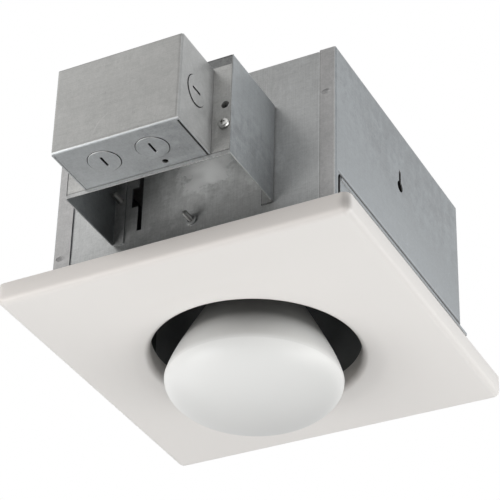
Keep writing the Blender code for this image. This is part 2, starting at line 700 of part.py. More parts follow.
def knockouts():
    length, width, through = KNOCKOUT_SLOT_LENGTH, KNOCKOUT_SLOT_WIDTH, OVERRUN
    floor = BOX_FOOT + BOX_SHEET / 2
    knockout("knockout_bottom_left", (KNOCKOUT_LEFT_X, KNOCKOUT_Y, floor), "+Z",
             (width, length, through))
    knockout("knockout_bottom_right", (KNOCKOUT_RIGHT_X, KNOCKOUT_Y, floor), "+Z",
             (width, length, through))
    knockout("knockout_side", (BOX_RIGHT - BOX_SHEET / 2, KNOCKOUT_Y, KNOCKOUT_SIDE_Z), "+X",
             (through, length, width))


# Screws, rivets and bushings


def screw(name, bearing, axis, diameter, head_d, head, length, point, look):
    """Pan-head screw: its origin is where the head bears, and its head points along the axis."""
    crown = head_d * SCREW_CROWN_SHARE
    profile = [(0, head), (crown, head), (head_d / 2, head / 2), (head_d / 2, 0), (diameter / 2, 0),
               (diameter / 2, point - length), (diameter / 4, -length), (0, -length)]
    piece = turned(name, bearing, profile, look, SMALL_STEPS, axis)
    smooth(piece)
    return piece


def rivet(name, centre, axis, grip, look=ZINC):
    """Rivet with a low head at each end of its grip."""
    reach = grip / 2
    end = reach + RIVET_HEAD
    crown = RIVET_HEAD_D * RIVET_CROWN_SHARE
    profile = [(0, end), (crown, end), (RIVET_HEAD_D / 2, reach), (RIVET_D / 2, reach),
               (RIVET_D / 2, -reach), (RIVET_HEAD_D / 2, -reach), (crown, -end), (0, -end)]
    return turned(name, centre, profile, look, SMALL_STEPS, axis)


def bushing_neck():
    return BUSHING_BORE + BUSHING_WALL * 2


def bushing(name, centre, axis, sheet):
    """Snap bushing with a flange on each face of the sheet."""
    bore, neck = BUSHING_BORE / 2, bushing_neck() / 2
    rim = neck + BUSHING_FLANGE
    face = sheet / 2 + GAP
    end = face + BUSHING_LIP
    profile = [(bore, end), (rim, end), (rim, face), (neck, face), (neck, -face), (rim, -face),
               (rim, -end), (bore, -end), (bore, end)]
    return turned(name, centre, profile, NYLON, SMALL_STEPS, axis)


def fasteners():
    bracket_bearing = WRAP_INSIDE - GAP - BRACKET_SHEET - GAP
    for name, side, axis in (("can_screw_front", -1, "+Y"), ("can_screw_rear", 1, "-Y")):
        reach = WRAP_HALF - bracket_bearing + LONG_SCREW_REACH
        screw(name, (BRACKET_SCREW_X, side * bracket_bearing, BRACKET_SCREW_Z), axis, LONG_SCREW_D,
              LONG_SCREW_HEAD_D, LONG_SCREW_HEAD, reach, SCREW_POINT, ZINC)
    bearing = WRAP_INSIDE - GAP
    for name, side in (("channel_screw_left", -1), ("channel_screw_right", 1)):
        screw(name, (CHANNEL_X + side * CHANNEL_SCREW_X, -bearing, CHANNEL_SCREW_Z), "+Y", LONG_SCREW_D,
              LONG_SCREW_HEAD_D, LONG_SCREW_HEAD, WRAP_HALF - bearing + LONG_SCREW_REACH, SCREW_POINT, ZINC)
    screw("panel_screw", (PANEL_SCREW_X, PANEL_FRONT - GAP, PANEL_SCREW_Z), "-Y", PANEL_SCREW_D,
          PANEL_SCREW_HEAD_D, PANEL_SCREW_HEAD, PANEL_SCREW_LENGTH, SCREW_POINT, ZINC)
    screw("earth_screw", (EARTH_X, PANEL_FRONT - GAP, EARTH_Z), "-Y", PANEL_SCREW_D,
          PANEL_SCREW_HEAD_D, PANEL_SCREW_HEAD, PANEL_SCREW_LENGTH, SCREW_POINT, GREEN_STEEL)
    for name, x in zip(("box_rivet_left", "box_rivet_right"), box_rivet_places()):
        low, high = BOX_BACK - BOX_SHEET, PANEL_BACK
        rivet(name, (x, (low + high) / 2, BOX_TAB_Z), "+Y", high - low + GAP * 2)
    bushing("bushing_panel", (LEAD_X, PANEL_FRONT + SHEET / 2, LEAD_Z), "+Y", SHEET)
    bushing("bushing_housing", (LEAD_X, -WRAP_HALF + SHEET / 2, LEAD_Z), "+Y", SHEET)


# Can round the lamp


def heat_can():
    """Rolled wall whose end laps over its start."""
    step_out = CAN_SHEET + GAP
    joggle = CAN_LAP_ANGLE / LAP_STEPS
    bm = bmesh.new()
    angles = [math.tau * i / CAN_STEPS for i in range(CAN_STEPS)]
    angles = [angle for angle in angles if angle < math.tau - joggle * 2]
    angles += [math.tau - joggle, *(math.tau + joggle * i for i in range(LAP_STEPS + 1))]
    verts = []
    for angle in angles:
        radius = CAN_RADIUS + (step_out if angle > math.tau - joggle - joggle / 2 else 0)
        theta = CAN_SEAM_ANGLE + angle
        verts.append(bm.verts.new((radius * math.cos(theta), radius * math.sin(theta), 0)))
    edges = [bm.edges.new(pair) for pair in zip(verts, verts[1:])]
    drawn = bmesh.ops.extrude_edge_only(bm, edges=edges)["geom"]
    bmesh.ops.translate(bm, vec=(0, 0, CAN_TOP - CAN_FOOT),
                        verts=[v for v in drawn if isinstance(v, bmesh.types.BMVert)])
    can = put("heat_can", mesh_from(bm, "heat_can"), (LAMP_X, LAMP_Y, CAN_FOOT), BLACK_ENAMEL)
    thicken(can, CAN_SHEET)
    for side in (-1, 1):
        cut(can, rod("can_rivet_hole", (LAMP_X, LAMP_Y + side * CAN_RADIUS, BRACKET_RIVET_Z),
                     RIVET_D + GAP * 2, OVERRUN * 2, "+Y", steps=SMALL_STEPS))
    return can


def heat_can_top():
    """Flat lid with a rim turned down outside the wall."""
    rim = CAN_OUTSIDE + GAP + CAN_SHEET + RIM_CLEARANCE + CAN_SHEET
    chord = LID_BEND * LID_BEND_SHARE
    profile = [(0, CAN_ROOF), (rim - LID_BEND, CAN_ROOF), (rim - chord, CAN_ROOF - chord),
               (rim, CAN_ROOF - LID_BEND), (rim, CAN_ROOF - CAN_RIM)]
    lid = turned("heat_can_top", (LAMP_X, LAMP_Y, 0), profile, BLACK_ENAMEL, CAN_STEPS)
    thicken(lid, CAN_SHEET)
    for side in (-1, 1):
        cut(lid, hole("lid_bushing_hole", (LAMP_X, LAMP_Y + side * CAN_BUSHING_OFFSET, CAN_ROOF),
                      bushing_neck() + GAP * 2, "+Z"),
            rod("lid_hat_hole", (LAMP_X + side * hat_rivet_offset(), LAMP_Y, CAN_ROOF), RIVET_D + GAP * 2,
                OVERRUN * 2, "+Z", steps=SMALL_STEPS),
            rod("lid_cutout_hole", (CUTOUT_X + side * CUTOUT_RIVET_OFFSET, CUTOUT_Y, CAN_ROOF),
                RIVET_D + GAP * 2, OVERRUN * 2, "+Z", steps=SMALL_STEPS))
        bushing("bushing_can_front" if side < 0 else "bushing_can_rear",
                (LAMP_X, LAMP_Y + side * CAN_BUSHING_OFFSET, CAN_ROOF - CAN_SHEET / 2), "+Z", CAN_SHEET)
    return lid


def can_bracket(name, side):
    """Bracket from the housing's inside to the can: foot, shelf and a leg up the can's wall."""
    foot = WRAP_INSIDE - GAP
    leg = abs(LAMP_Y + side * CAN_OUTSIDE) + GAP + BRACKET_SHEET
    path = [(0, side * foot, BRACKET_FOOT), (0, side * foot, BRACKET_SHELF), (0, side * leg, BRACKET_SHELF),
            (0, side * leg, BRACKET_TOP)]
    bracket = strip(name, (LAMP_X, 0, 0), path, (-side * BRACKET_WIDTH, 0, 0), BRACKET_SHEET,
                    FOLD_RADIUS, GALVANISED)
    cut(bracket, rod(name + "_screw_hole", (BRACKET_SCREW_X, side * foot, BRACKET_SCREW_Z),
                     LONG_SCREW_D + HOLE_CLEARANCE * 2, OVERRUN * 2, "+Y", steps=SMALL_STEPS),
        rod(name + "_rivet_hole", (LAMP_X, side * leg, BRACKET_RIVET_Z),
            RIVET_D + GAP * 2, OVERRUN * 2, "+Y", steps=SMALL_STEPS))
    return bracket


# Lampholder


def hat_rivet_offset():
    return HAT_SPAN / 2 + HAT_EAR * EAR_HOLE_SHARE


def socket_bracket():
    """Hat-shaped strap that hangs the lampholder under the can's lid."""
    under_lid = CAN_ROOF - CAN_SHEET - GAP
    half = HAT_SPAN / 2
    lower = HAT_LOW + HAT_SHEET
    path = [(-half - HAT_EAR, 0, under_lid), (-half, 0, under_lid), (-half, 0, lower), (half, 0, lower),
            (half, 0, under_lid), (half + HAT_EAR, 0, under_lid)]
    hat = strip("socket_bracket", (LAMP_X, LAMP_Y, 0), path, (0, -HAT_WIDTH, 0), HAT_SHEET, FOLD_RADIUS,
                GALVANISED)
    for side in (-1, 1):
        cut(hat, rod("hat_screw_hole", (LAMP_X + side * HOLDER_SCREW_OFFSET, LAMP_Y, lower),
                     RIVET_D + GAP * 2, OVERRUN * 2, "+Z", steps=SMALL_STEPS),
            rod("hat_rivet_hole", (LAMP_X + side * hat_rivet_offset(), LAMP_Y, under_lid),
                RIVET_D + GAP * 2, OVERRUN * 2, "+Z", steps=SMALL_STEPS))
        rivet("hat_rivet_left" if side < 0 else "hat_rivet_right",
              (LAMP_X + side * hat_rivet_offset(), LAMP_Y, (CAN_ROOF + under_lid - HAT_SHEET) / 2), "+Z",
              CAN_ROOF - under_lid + HAT_SHEET + GAP * 2)
        screw("socket_screw_left" if side < 0 else "socket_screw_right",
              (LAMP_X + side * HOLDER_SCREW_OFFSET, LAMP_Y, lower + GAP), "+Z", RIVET_D, RIVET_HEAD_D,
              RIVET_HEAD, HOLDER_SCREW_LENGTH, RIVET_HEAD, ZINC)
    return hat


def socket_body():
    """Porcelain cup, open downwards, with two terminals on top."""
    mouth = LAMP_LOW + HOLDER_MOUTH
    outside, inside = HOLDER_D / 2, SHELL_RADIUS + SHELL_WALL + GAP
    profile = [(0, HOLDER_TOP), (outside - HOLDER_EDGE, HOLDER_TOP), (outside, HOLDER_TOP - HOLDER_EDGE),
               (outside, mouth + HOLDER_EDGE), (outside - HOLDER_EDGE, mouth), (inside, mouth),
               (inside, HOLDER_CEILING), (0, HOLDER_CEILING)]
    body = turned("socket_body", (LAMP_X, LAMP_Y, 0), profile, PORCELAIN)
    for side in (-1, 1):
        cut(body, rod("body_screw_hole", (LAMP_X + side * HOLDER_SCREW_OFFSET, LAMP_Y,
                                          HOLDER_TOP - HOLDER_SCREW_LENGTH / 2 + OVERRUN / 2),
                      RIVET_D + GAP * 2, HOLDER_SCREW_LENGTH + OVERRUN, "+Z", steps=SMALL_STEPS))
        join(body, rod("body_terminal", (LAMP_X, LAMP_Y + side * TERMINAL_OFFSET, HOLDER_TOP), TERMINAL_D,
                       TERMINAL_HEIGHT * 2, "+Z", steps=SMALL_STEPS))
    smooth(body)
    return body


def socket_shell():
    """Screw shell that takes the lamp's cap."""
    low = LAMP_LOW + HOLDER_MOUTH + SHELL_RECESS
    inside, outside = SHELL_RADIUS, SHELL_RADIUS + SHELL_WALL
    high = HOLDER_CEILING - GAP
    profile = [(inside, high), (outside, high), (outside, low), (inside, low), (inside, high)]
    return turned("socket_shell", (LAMP_X, LAMP_Y, 0), profile, BRASS)


def socket_contact():
    """Contact strip under the cup's roof."""
    low = LAMP_TOP + GAP
    reach = (SHELL_RADIUS - GAP) * CONTACT_REACH_SHARE
    return block("socket_contact", (LAMP_X - reach, LAMP_Y - SPRING_CONTACT_WIDTH / 2, low),
                 (LAMP_X + reach, LAMP_Y + SPRING_CONTACT_WIDTH / 2, low + SPRING_CONTACT_SHEET), BRASS)


# Lamp


def lamp_profile():
    """Outer side of the glass, from the neck's end down to the middle of the face."""
    radius = LAMP_D / 2
    neck = NECK_D / 2
    cone = [(neck, 0, NECK_LOW)]
    cone += [(radius * across, 0, LAMP_LENGTH * up)
             for up, across in zip(CONE_HEIGHT_SHARES, CONE_RADIUS_SHARES)]
    cone.append((radius, 0, LAMP_BOWL_HEIGHT))
    profile = [(neck, NECK_END)] + [(point.x, point.z) for point in smooth_path(cone, 2)]
    for step in range(1, BOWL_STEPS):
        angle = math.radians(90) * step / BOWL_STEPS
        across, up = math.cos(angle) ** (2 / BOWL_EXPONENT), math.sin(angle) ** (2 / BOWL_EXPONENT)
        profile.append((radius * across, LAMP_BOWL_HEIGHT * (1 - up)))
    return profile + [(0, 0)]


def lamp_glass(turner):
    glass = turned("lamp_glass", (LAMP_X, LAMP_Y, LAMP_LOW), lamp_profile(), FROSTED_GLASS, LAMP_STEPS)
    smooth(glass)
    thicken(glass, LAMP_WALL)
    carry(turner, glass)
    return glass


def lamp_cap(turner):
    outside, inside = CAP_D / 2, CAP_D / 2 - CAP_WALL
    collar = INSULATOR_D / 2 + GAP
    shoulder = CAP_TOP + CAP_SHOULDER
    profile = [(collar, shoulder), (outside, CAP_TOP), (outside, CAP_LOW), (inside, CAP_LOW),
               (inside, CAP_TOP - CAP_WALL), (collar, shoulder - CAP_WALL - CAP_WALL / 2),
               (collar, shoulder)]
    cap = turned("lamp_cap", (LAMP_X, LAMP_Y, LAMP_LOW), profile, BRASS)
    low = shoulder - CAP_WALL * 2
    high = LAMP_LENGTH - CONTACT_HEIGHT - GAP
    insulator = turned("lamp_cap_insulator", (LAMP_X, LAMP_Y, LAMP_LOW),
                       [(0, high), (INSULATOR_TOP_D / 2, high), (INSULATOR_D / 2, low + GAP),
                        (INSULATOR_D / 2, low - INSULATOR_HEIGHT / 3), (0, low - INSULATOR_HEIGHT / 3)],
                       BLACK_GLASS)
    carry(turner, cap, insulator)


def lamp_contact(slider):
    middle = LAMP_TOP - CONTACT_HEIGHT / 2
    contact = rod("lamp_contact", (LAMP_X, LAMP_Y, middle), CONTACT_D, CONTACT_HEIGHT, "+Z", BRASS,
                  SMALL_STEPS)
    carry(slider, contact)


def lamp_inside(turner):
    """Glass stem sealed into the neck, and the filament that it carries."""
    flange = NECK_D / 2 - LAMP_WALL - GAP
    top = NECK_END - STEM_FLANGE
    profile = [(0, top), (flange, top), (flange, top - STEM_FLANGE),
               (STEM_D / 2, top - flange * STEM_TAPER_SHARE),
               (STEM_D / 2, STEM_LOW + STEM_D / 2), (STEM_D / 4, STEM_LOW), (0, STEM_LOW)]
    stem = turned("lamp_stem", (LAMP_X, LAMP_Y, LAMP_LOW), profile, CLEAR_GLASS, SMALL_STEPS)
    ring = FILAMENT_RING_D / 2
    start = FILAMENT_OPENING / 2
    sweep = math.tau - FILAMENT_OPENING
    low, high = LAMP_LOW + FILAMENT_Z, LAMP_LOW + STEM_LOW
    angles = [start + sweep * i / FILAMENT_STEPS for i in range(FILAMENT_STEPS + 1)]
    points = [(LAMP_X + ring * math.cos(angle), LAMP_Y + ring * math.sin(angle), low) for angle in angles]
    root = STEM_D / 2 + FILAMENT_WIRE_D / 2 + GAP
    lead_in = STEM_D
    ends = [(LAMP_X + root * math.cos(angle), LAMP_Y + root * math.sin(angle), high + lead_in)
            for angle in (start, -start)]
    filament = wire("lamp_filament", [ends[0], *points, ends[1]], FILAMENT_WIRE_D, TUNGSTEN,
                    (LAMP_X, LAMP_Y, low))
    carry(turner, stem, filament)


# Face plate


def rounded_square(half, radius):
    """Points round a square with round corners, evenly turned along each side."""
    straight = half - radius
    reach = math.atan2(straight, half)
    quarter = [(half, half * math.tan(reach * (2 * i / SIDE_STEPS - 1))) for i in range(SIDE_STEPS + 1)]
    quarter += [(straight + radius * math.cos(angle), straight + radius * math.sin(angle))
                for angle in (math.radians(90) * j / CORNER_STEPS for j in range(1, CORNER_STEPS))]
    points = []
    for turn in range(4):
        cos, sin = round(math.cos(turn * math.pi / 2)), round(math.sin(turn * math.pi / 2))
        points += [(x * cos - y * sin, x * sin + y * cos) for x, y in quarter]
    return points


def plate_rings():
    """The plate's visible face as rings of points: rim, soft bend, crowned face, opening and collar."""
    half, corner = PLATE_SIDE / 2, PLATE_CORNER
    square = rounded_square(half, corner)
    rings = [[(x, y, 0) for x, y in square]]
    for step in range(BEND_STEPS + 1):
        angle = math.radians(90) * step / BEND_STEPS
        inset = PLATE_BEND * (1 - math.cos(angle))
        height = -PLATE_RIM + PLATE_BEND * (1 - math.sin(angle))
        ring = rounded_square(half - inset, corner - inset)
        rings.append([(x, y, height) for x, y in ring])
    edge = rounded_square(half - PLATE_BEND, corner - PLATE_BEND)
    lip_radius = OPENING_D / 2 + OPENING_BEND
    circle = [(math.cos(math.atan2(y, x)), math.sin(math.atan2(y, x))) for x, y in square]
    for step in range(1, FACE_STEPS + 1):
        share = step / FACE_STEPS
        height = plate_height(share)
        rings.append([(ex + (lip_radius * cx - ex) * share, ey + (lip_radius * cy - ey) * share, height)
                      for (ex, ey), (cx, cy) in zip(edge, circle)])
    centre_z = plate_height(1) + OPENING_BEND
    for step in range(1, BEND_STEPS + 1):
        angle = math.radians(90) * step / BEND_STEPS
        radius = lip_radius - OPENING_BEND * math.sin(angle)
        height = centre_z - OPENING_BEND * math.cos(angle)
        rings.append([(radius * cx, radius * cy, height) for cx, cy in circle])
    rings.append([(OPENING_D / 2 * cx, OPENING_D / 2 * cy, COLLAR_TOP) for cx, cy in circle])
    return rings


def plate_height(share):
    """Height of the visible face, from the rim's bend (0) to the opening (1)."""
    return -PLATE_RIM - PLATE_CROWN * share * (3 - share) / 2


def face_plate(slider):
    """Pressed plate: its rings are bridged, because they go from a square to a circle."""
    bm = bmesh.new()
    loops = [[bm.verts.new(point) for point in ring] for ring in plate_rings()]
    for upper, lower in zip(loops, loops[1:]):
        count = len(upper)
        for i in range(count):
            j = (i + 1) % count
            bm.faces.new((upper[i], lower[i], lower[j], upper[j]))
    plate = put("face_plate", mesh_from(bm, "face_plate"), (PLATE_X, PLATE_Y, 0), WHITE_ENAMEL)
    thicken(plate, PLATE_SHEET)
    smooth(plate)
    carry(slider, plate)
    return plate


def plate_back(x):
    """Height of the plate's hidden face under a place on the X axis."""
    outer = PLATE_SIDE / 2 - PLATE_BEND
    inner = OPENING_D / 2 + OPENING_BEND
    share = (outer - abs(x - PLATE_X)) / (outer - inner)
    return plate_height(share) + PLATE_SHEET


def plate_spring(name, side, slider):
    """Leaf spring that stands on the plate's back and grips the housing's skirt."""
    bulge = WRAP_HALF - SHEET - GAP - SPRING_SHEET
    seat = GAP + SPRING_SHEET
    start, end = side * SPRING_FOOT_START, side * SPRING_FOOT_END
    path = [(start, 0, plate_back(start) + seat), (end, 0, plate_back(end) + seat),
            (side * SPRING_NECK_X, 0, SPRING_NECK_Z), (side * bulge, 0, SPRING_BULGE_Z),
            (side * SPRING_TIP_X, 0, SPRING_TIP_Z)]
    middle = (start + end) / 2
    spring = strip(name, (0, PLATE_Y, 0), path, (0, -side * SPRING_WIDTH, 0), SPRING_SHEET, FOLD_RADIUS,
                   SPRING_STEEL)
    cut(spring, rod(name + "_hole", (middle, PLATE_Y, plate_back(middle)), STUD_D + HOLE_CLEARANCE * 2,
                    OVERRUN * 2, "+Z", steps=SMALL_STEPS))
    base = plate_back(middle) + GAP * 2
    bearing = plate_back(middle) + seat + GAP * 2
    stud = turned(name.replace("spring", "stud"), (middle, PLATE_Y, 0),
                  [(0, bearing + STUD_D / 2), (STUD_HEAD_D * RIVET_CROWN_SHARE, bearing + STUD_D / 2),
                   (STUD_HEAD_D / 2, bearing), (STUD_D / 2, bearing), (STUD_D / 2, base), (0, base)],
                  ZINC, SMALL_STEPS)
    carry(slider, spring, stud)


# Thermal cut-out and leads


def thermal_cutout():
    """Disc thermostat riveted to the can's lid, with two blades on top."""
    base = CAN_ROOF + GAP
    ear = block("thermal_cutout", (CUTOUT_X - CUTOUT_EAR_LENGTH / 2, CUTOUT_Y - CUTOUT_EAR_WIDTH / 2, base),
                (CUTOUT_X + CUTOUT_EAR_LENGTH / 2, CUTOUT_Y + CUTOUT_EAR_WIDTH / 2, base + SHEET), PHENOLIC,
                rounded="Z", radius=CUTOUT_EAR_WIDTH / 3)
    middle, blade_top = base + CUTOUT_HEIGHT / 2, base + CUTOUT_HEIGHT + BLADE_HEIGHT
    join(ear, rod("cutout_can", (CUTOUT_X, CUTOUT_Y, middle), CUTOUT_D, CUTOUT_HEIGHT))
    for side in (-1, 1):
        x = CUTOUT_X + side * BLADE_OFFSET
        join(ear, block("cutout_blade", (x - BLADE_SHEET / 2, CUTOUT_Y - BLADE_WIDTH / 2, middle),
                        (x + BLADE_SHEET / 2, CUTOUT_Y + BLADE_WIDTH / 2, blade_top)))
        cut(ear, rod("cutout_rivet_hole", (CUTOUT_X + side * CUTOUT_RIVET_OFFSET, CUTOUT_Y, base),
                     RIVET_D + GAP * 2, OVERRUN * 2, "+Z", steps=SMALL_STEPS))
        low, high = CAN_ROOF - CAN_SHEET, base + SHEET
        rivet("cutout_rivet_left" if side < 0 else "cutout_rivet_right",
              (CUTOUT_X + side * CUTOUT_RIVET_OFFSET, CUTOUT_Y, (low + high) / 2), "+Z",
              high - low + GAP * 2)
    return ear


def leads():
    """Leads from the wiring box to the cut-out and lampholder, through the bushings."""
    black_x, white_x = LEAD_X + LEAD_SPREAD / 2, LEAD_X - LEAD_SPREAD / 2
    blade_z = CAN_ROOF + GAP + CUTOUT_HEIGHT + BLADE_HEIGHT / 2
    blade_side = BLADE_OFFSET + BLADE_SHEET / 2 + GAP
    over_lid = CAN_ROOF + LEAD_D * 2
    terminal_z = HOLDER_TOP + TERMINAL_HEIGHT + GAP
    box_run = BOX_FRONT - BOX_BACK
    can_run = CAN_OUTSIDE + LEAD_D * 2
    rise = over_lid - LEAD_Z

    def from_box(x, drop_share):
        """The stretch from the wiring box through both bushings."""
        drop = rise * drop_share
        far, middle, near = (BOX_BACK + box_run * share for share in LEAD_RUN_SHARES)
        start, end = (LEAD_Z + rise * share for share in LEAD_RISE_SHARES)
        return [(x - LEAD_SPREAD * 3, far, LEAD_Z - drop),
                (x - LEAD_SPREAD, middle, LEAD_Z - drop * LEAD_DROP_SHARE), (x, near, LEAD_Z),
                (x, PANEL_BACK, LEAD_Z), (x, (PANEL_BACK - WRAP_HALF) / 2, LEAD_Z),
                (x, -WRAP_HALF, LEAD_Z), (x, -(WRAP_HALF + can_run) / 2, start),
                (x, LAMP_Y - can_run, end)]

    wire("lead_black", smooth_path(from_box(black_x, BLACK_DROP_SHARE) + [
        (black_x + LEAD_SPREAD, LAMP_Y - CAN_RADIUS, over_lid + LEAD_D),
        (CUTOUT_X + blade_side + LEAD_D * 3, CUTOUT_Y - CUTOUT_D, blade_z),
        (CUTOUT_X + blade_side + LEAD_D / 2, CUTOUT_Y, blade_z)], 3), LEAD_D, BLACK_WIRE)
    wire("lead_white", smooth_path(from_box(white_x, WHITE_DROP_SHARE) + [
        (white_x - LEAD_SPREAD * 3, LAMP_Y - CAN_RADIUS, over_lid + LEAD_D),
        (LAMP_X - CAN_BUSHING_OFFSET, LAMP_Y - CAN_BUSHING_OFFSET, over_lid),
        (LAMP_X - CAN_BUSHING_OFFSET, LAMP_Y + CAN_BUSHING_OFFSET / 2, over_lid),
        (LAMP_X - LEAD_SPREAD * 3, LAMP_Y + CAN_BUSHING_OFFSET, over_lid + LEAD_D),
        (LAMP_X, LAMP_Y + CAN_BUSHING_OFFSET, CAN_ROOF - LEAD_D / 2),
        (LAMP_X, LAMP_Y + CAN_BUSHING_OFFSET * LID_ENTRY_SHARE, (CAN_ROOF + terminal_z) / 2 - LEAD_D),
        (LAMP_X, LAMP_Y + TERMINAL_OFFSET, terminal_z + LEAD_D / 2)], 3), LEAD_D, WHITE_WIRE)
    wire("lead_link", smooth_path([
        (CUTOUT_X - blade_side - LEAD_D / 2, CUTOUT_Y, blade_z),
        (CUTOUT_X - CUTOUT_D, CUTOUT_Y - LEAD_D, blade_z),
        (LAMP_X + LEAD_SPREAD * 3, LAMP_Y - CAN_BUSHING_OFFSET, over_lid + LEAD_D),
        (LAMP_X, LAMP_Y - CAN_BUSHING_OFFSET, CAN_ROOF - LEAD_D / 2),
        (LAMP_X, LAMP_Y - CAN_BUSHING_OFFSET * LID_ENTRY_SHARE, (CAN_ROOF + terminal_z) / 2 - LEAD_D),
        (LAMP_X, LAMP_Y - TERMINAL_OFFSET, terminal_z + LEAD_D / 2)], 3), LEAD_D, BLACK_WIRE)
    head_y = PANEL_FRONT - GAP - PANEL_SCREW_HEAD - GAP - EARTH_WIRE_D / 2
    earth_near, earth_far = (BOX_BACK + box_run * share for share in EARTH_RUN_SHARES)
    wire("earth_lead", smooth_path([
        (EARTH_X, head_y, EARTH_Z),
        (EARTH_X + PANEL_SCREW_HEAD_D, head_y - PANEL_SCREW_HEAD, EARTH_Z + PANEL_SCREW_HEAD_D),
        (EARTH_X + PANEL_SCREW_HEAD_D, earth_near, EARTH_Z + PANEL_SCREW_HEAD_D * 2),
        (EARTH_X + PANEL_SCREW_HEAD_D * 2, earth_far, EARTH_Z + PANEL_SCREW_HEAD_D)], 3),
        EARTH_WIRE_D, COPPER)


def empty(name, place, parent=None):
    """A frame for moving pieces, on their joint's axis."""
    frame = bpy.data.objects.new(name, None)
    frame.location = place
    frame.parent = parent
    heater.objects.link(frame)
    return frame


empty_scene()
heater = new_collection("bathroom_ceiling_heater", True)
cutters = new_collection("cutters", False)

plate_slider = empty("plate_slider", (PLATE_X, PLATE_Y, 0))
lamp_slider = empty("lamp_slider", (LAMP_X, LAMP_Y, LAMP_LOW))
lamp_turner = empty("lamp_turner", (LAMP_X, LAMP_Y, LAMP_LOW))

housing_wrap()
side_panel("side_left", -1, LEFT_FLANGE)
side_panel("side_right", 1, RIGHT_FLANGE)
skirt("skirt_left", -1)
skirt("skirt_right", 1)
channel_box()
wiring_panel()
wiring_box()
knockouts()
fasteners()
heat_can()
heat_can_top()
can_bracket("can_bracket_front", -1)
can_bracket("can_bracket_rear", 1)
for rivet_side, rivet_name in ((-1, "can_rivet_front"), (1, "can_rivet_rear")):
    wall_middle = LAMP_Y + rivet_side * (CAN_RADIUS + (CAN_SHEET + GAP + BRACKET_SHEET) / 2)
    rivet(rivet_name, (LAMP_X, wall_middle, BRACKET_RIVET_Z), "+Y",
          CAN_SHEET + BRACKET_SHEET + GAP * 3)
socket_bracket()
socket_body()
socket_shell()
socket_contact()
lamp_glass(lamp_turner)
lamp_cap(lamp_turner)
lamp_contact(lamp_slider)
lamp_inside(lamp_turner)
face_plate(plate_slider)
plate_spring("plate_spring_left", -1, plate_slider)
plate_spring("plate_spring_right", 1, plate_slider)
thermal_cutout()
leads()
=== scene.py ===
# %% [markdown]
# # A bathroom ceiling heater in galvanised sheet, white enamel and frosted glass
#
# The heater is mostly thin steel sheet, folded into boxes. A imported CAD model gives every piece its
# place and size. This lesson dresses that model: it rebuilds what needs a finer surface, such as the
# lamp and the face plate, and gives each finish a material made of nodes. The sheets keep the CAD
# shape, because a folded box is already right, and get softened edges and dents on top.

import json
import math

import bmesh
import bpy
from mathutils import Matrix, Vector


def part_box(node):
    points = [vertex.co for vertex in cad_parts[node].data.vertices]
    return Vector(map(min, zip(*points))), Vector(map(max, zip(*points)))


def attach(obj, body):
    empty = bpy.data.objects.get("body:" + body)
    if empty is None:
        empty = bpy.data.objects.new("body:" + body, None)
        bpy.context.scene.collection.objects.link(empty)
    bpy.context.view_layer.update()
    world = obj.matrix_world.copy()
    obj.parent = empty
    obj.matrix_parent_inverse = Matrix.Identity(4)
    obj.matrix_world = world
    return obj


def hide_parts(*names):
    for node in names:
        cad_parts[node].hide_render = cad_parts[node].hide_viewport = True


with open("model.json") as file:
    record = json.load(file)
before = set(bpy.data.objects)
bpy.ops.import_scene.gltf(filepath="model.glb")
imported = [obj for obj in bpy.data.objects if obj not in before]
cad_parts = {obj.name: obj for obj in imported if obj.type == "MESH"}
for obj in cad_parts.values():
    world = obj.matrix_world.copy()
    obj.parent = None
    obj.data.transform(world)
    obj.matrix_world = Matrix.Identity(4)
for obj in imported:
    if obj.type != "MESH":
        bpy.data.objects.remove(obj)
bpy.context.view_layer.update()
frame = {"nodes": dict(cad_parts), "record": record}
nodes = frame["nodes"]
slot_of = {part["node"]: part["material_slot"] for part in frame["record"]["subparts"]}

# %% [markdown]
# The camera, the lamps, the floor and every piece are objects, so two small helpers add them all.


# %% Adding objects
def add_object(name, data):
    """An object for some data, linked to the scene."""
    made = bpy.data.objects.new(name, data)
    bpy.context.scene.collection.objects.link(made)
    return made


def new_piece(name, bm):
    """An object for a mesh that was drawn in bmesh."""
    data = bpy.data.meshes.new(name)
    bm.to_mesh(data)
    bm.free()
    return add_object(name, data)


print("object helpers ready")

# %% [markdown]
# ## The camera
#
# The picture looks up at the heater from below and from the right of its front. A long lens keeps the
# edges nearly parallel. Three angles, a target and a distance say all there is to say, so the matrix is
# written from them instead of being turned by hand.

# %% Camera
VIEW_AZIMUTH = math.radians(27.88)
VIEW_ELEVATION = math.radians(-33.54)
VIEW_ROLL = math.radians(1.53)
VIEW_DISTANCE = 1.46718
VIEW_TARGET = Vector((0.01546, -0.05034, 0.03678))
VIEW_REACH = 50.0
FOCAL_SHARE = 4.18146
SENSOR_MM = 36.0


def aim_camera():
    """A camera that looks at the target from the view's angles."""
    flat = math.cos(VIEW_ELEVATION)
    forward = Vector((-math.sin(VIEW_AZIMUTH) * flat, math.cos(VIEW_AZIMUTH) * flat,
                      -math.sin(VIEW_ELEVATION)))
    right = Vector((math.cos(VIEW_AZIMUTH), math.sin(VIEW_AZIMUTH), 0))
    up = right.cross(forward)
    turned_right = right * math.cos(VIEW_ROLL) + up * math.sin(VIEW_ROLL)
    turned_up = up * math.cos(VIEW_ROLL) - right * math.sin(VIEW_ROLL)
    data = bpy.data.cameras.new("camera")
    data.sensor_width = SENSOR_MM
    data.lens = SENSOR_MM * FOCAL_SHARE
    data.clip_end = VIEW_REACH
    camera = add_object("camera", data)
    turn = Matrix((turned_right, turned_up, -forward)).transposed()
    camera.matrix_world = Matrix.Translation(VIEW_TARGET - forward * VIEW_DISTANCE) @ turn.to_4x4()
    bpy.context.scene.camera = camera
    return camera


camera = aim_camera()
print("camera at", [round(value, 3) for value in camera.matrix_world.translation])

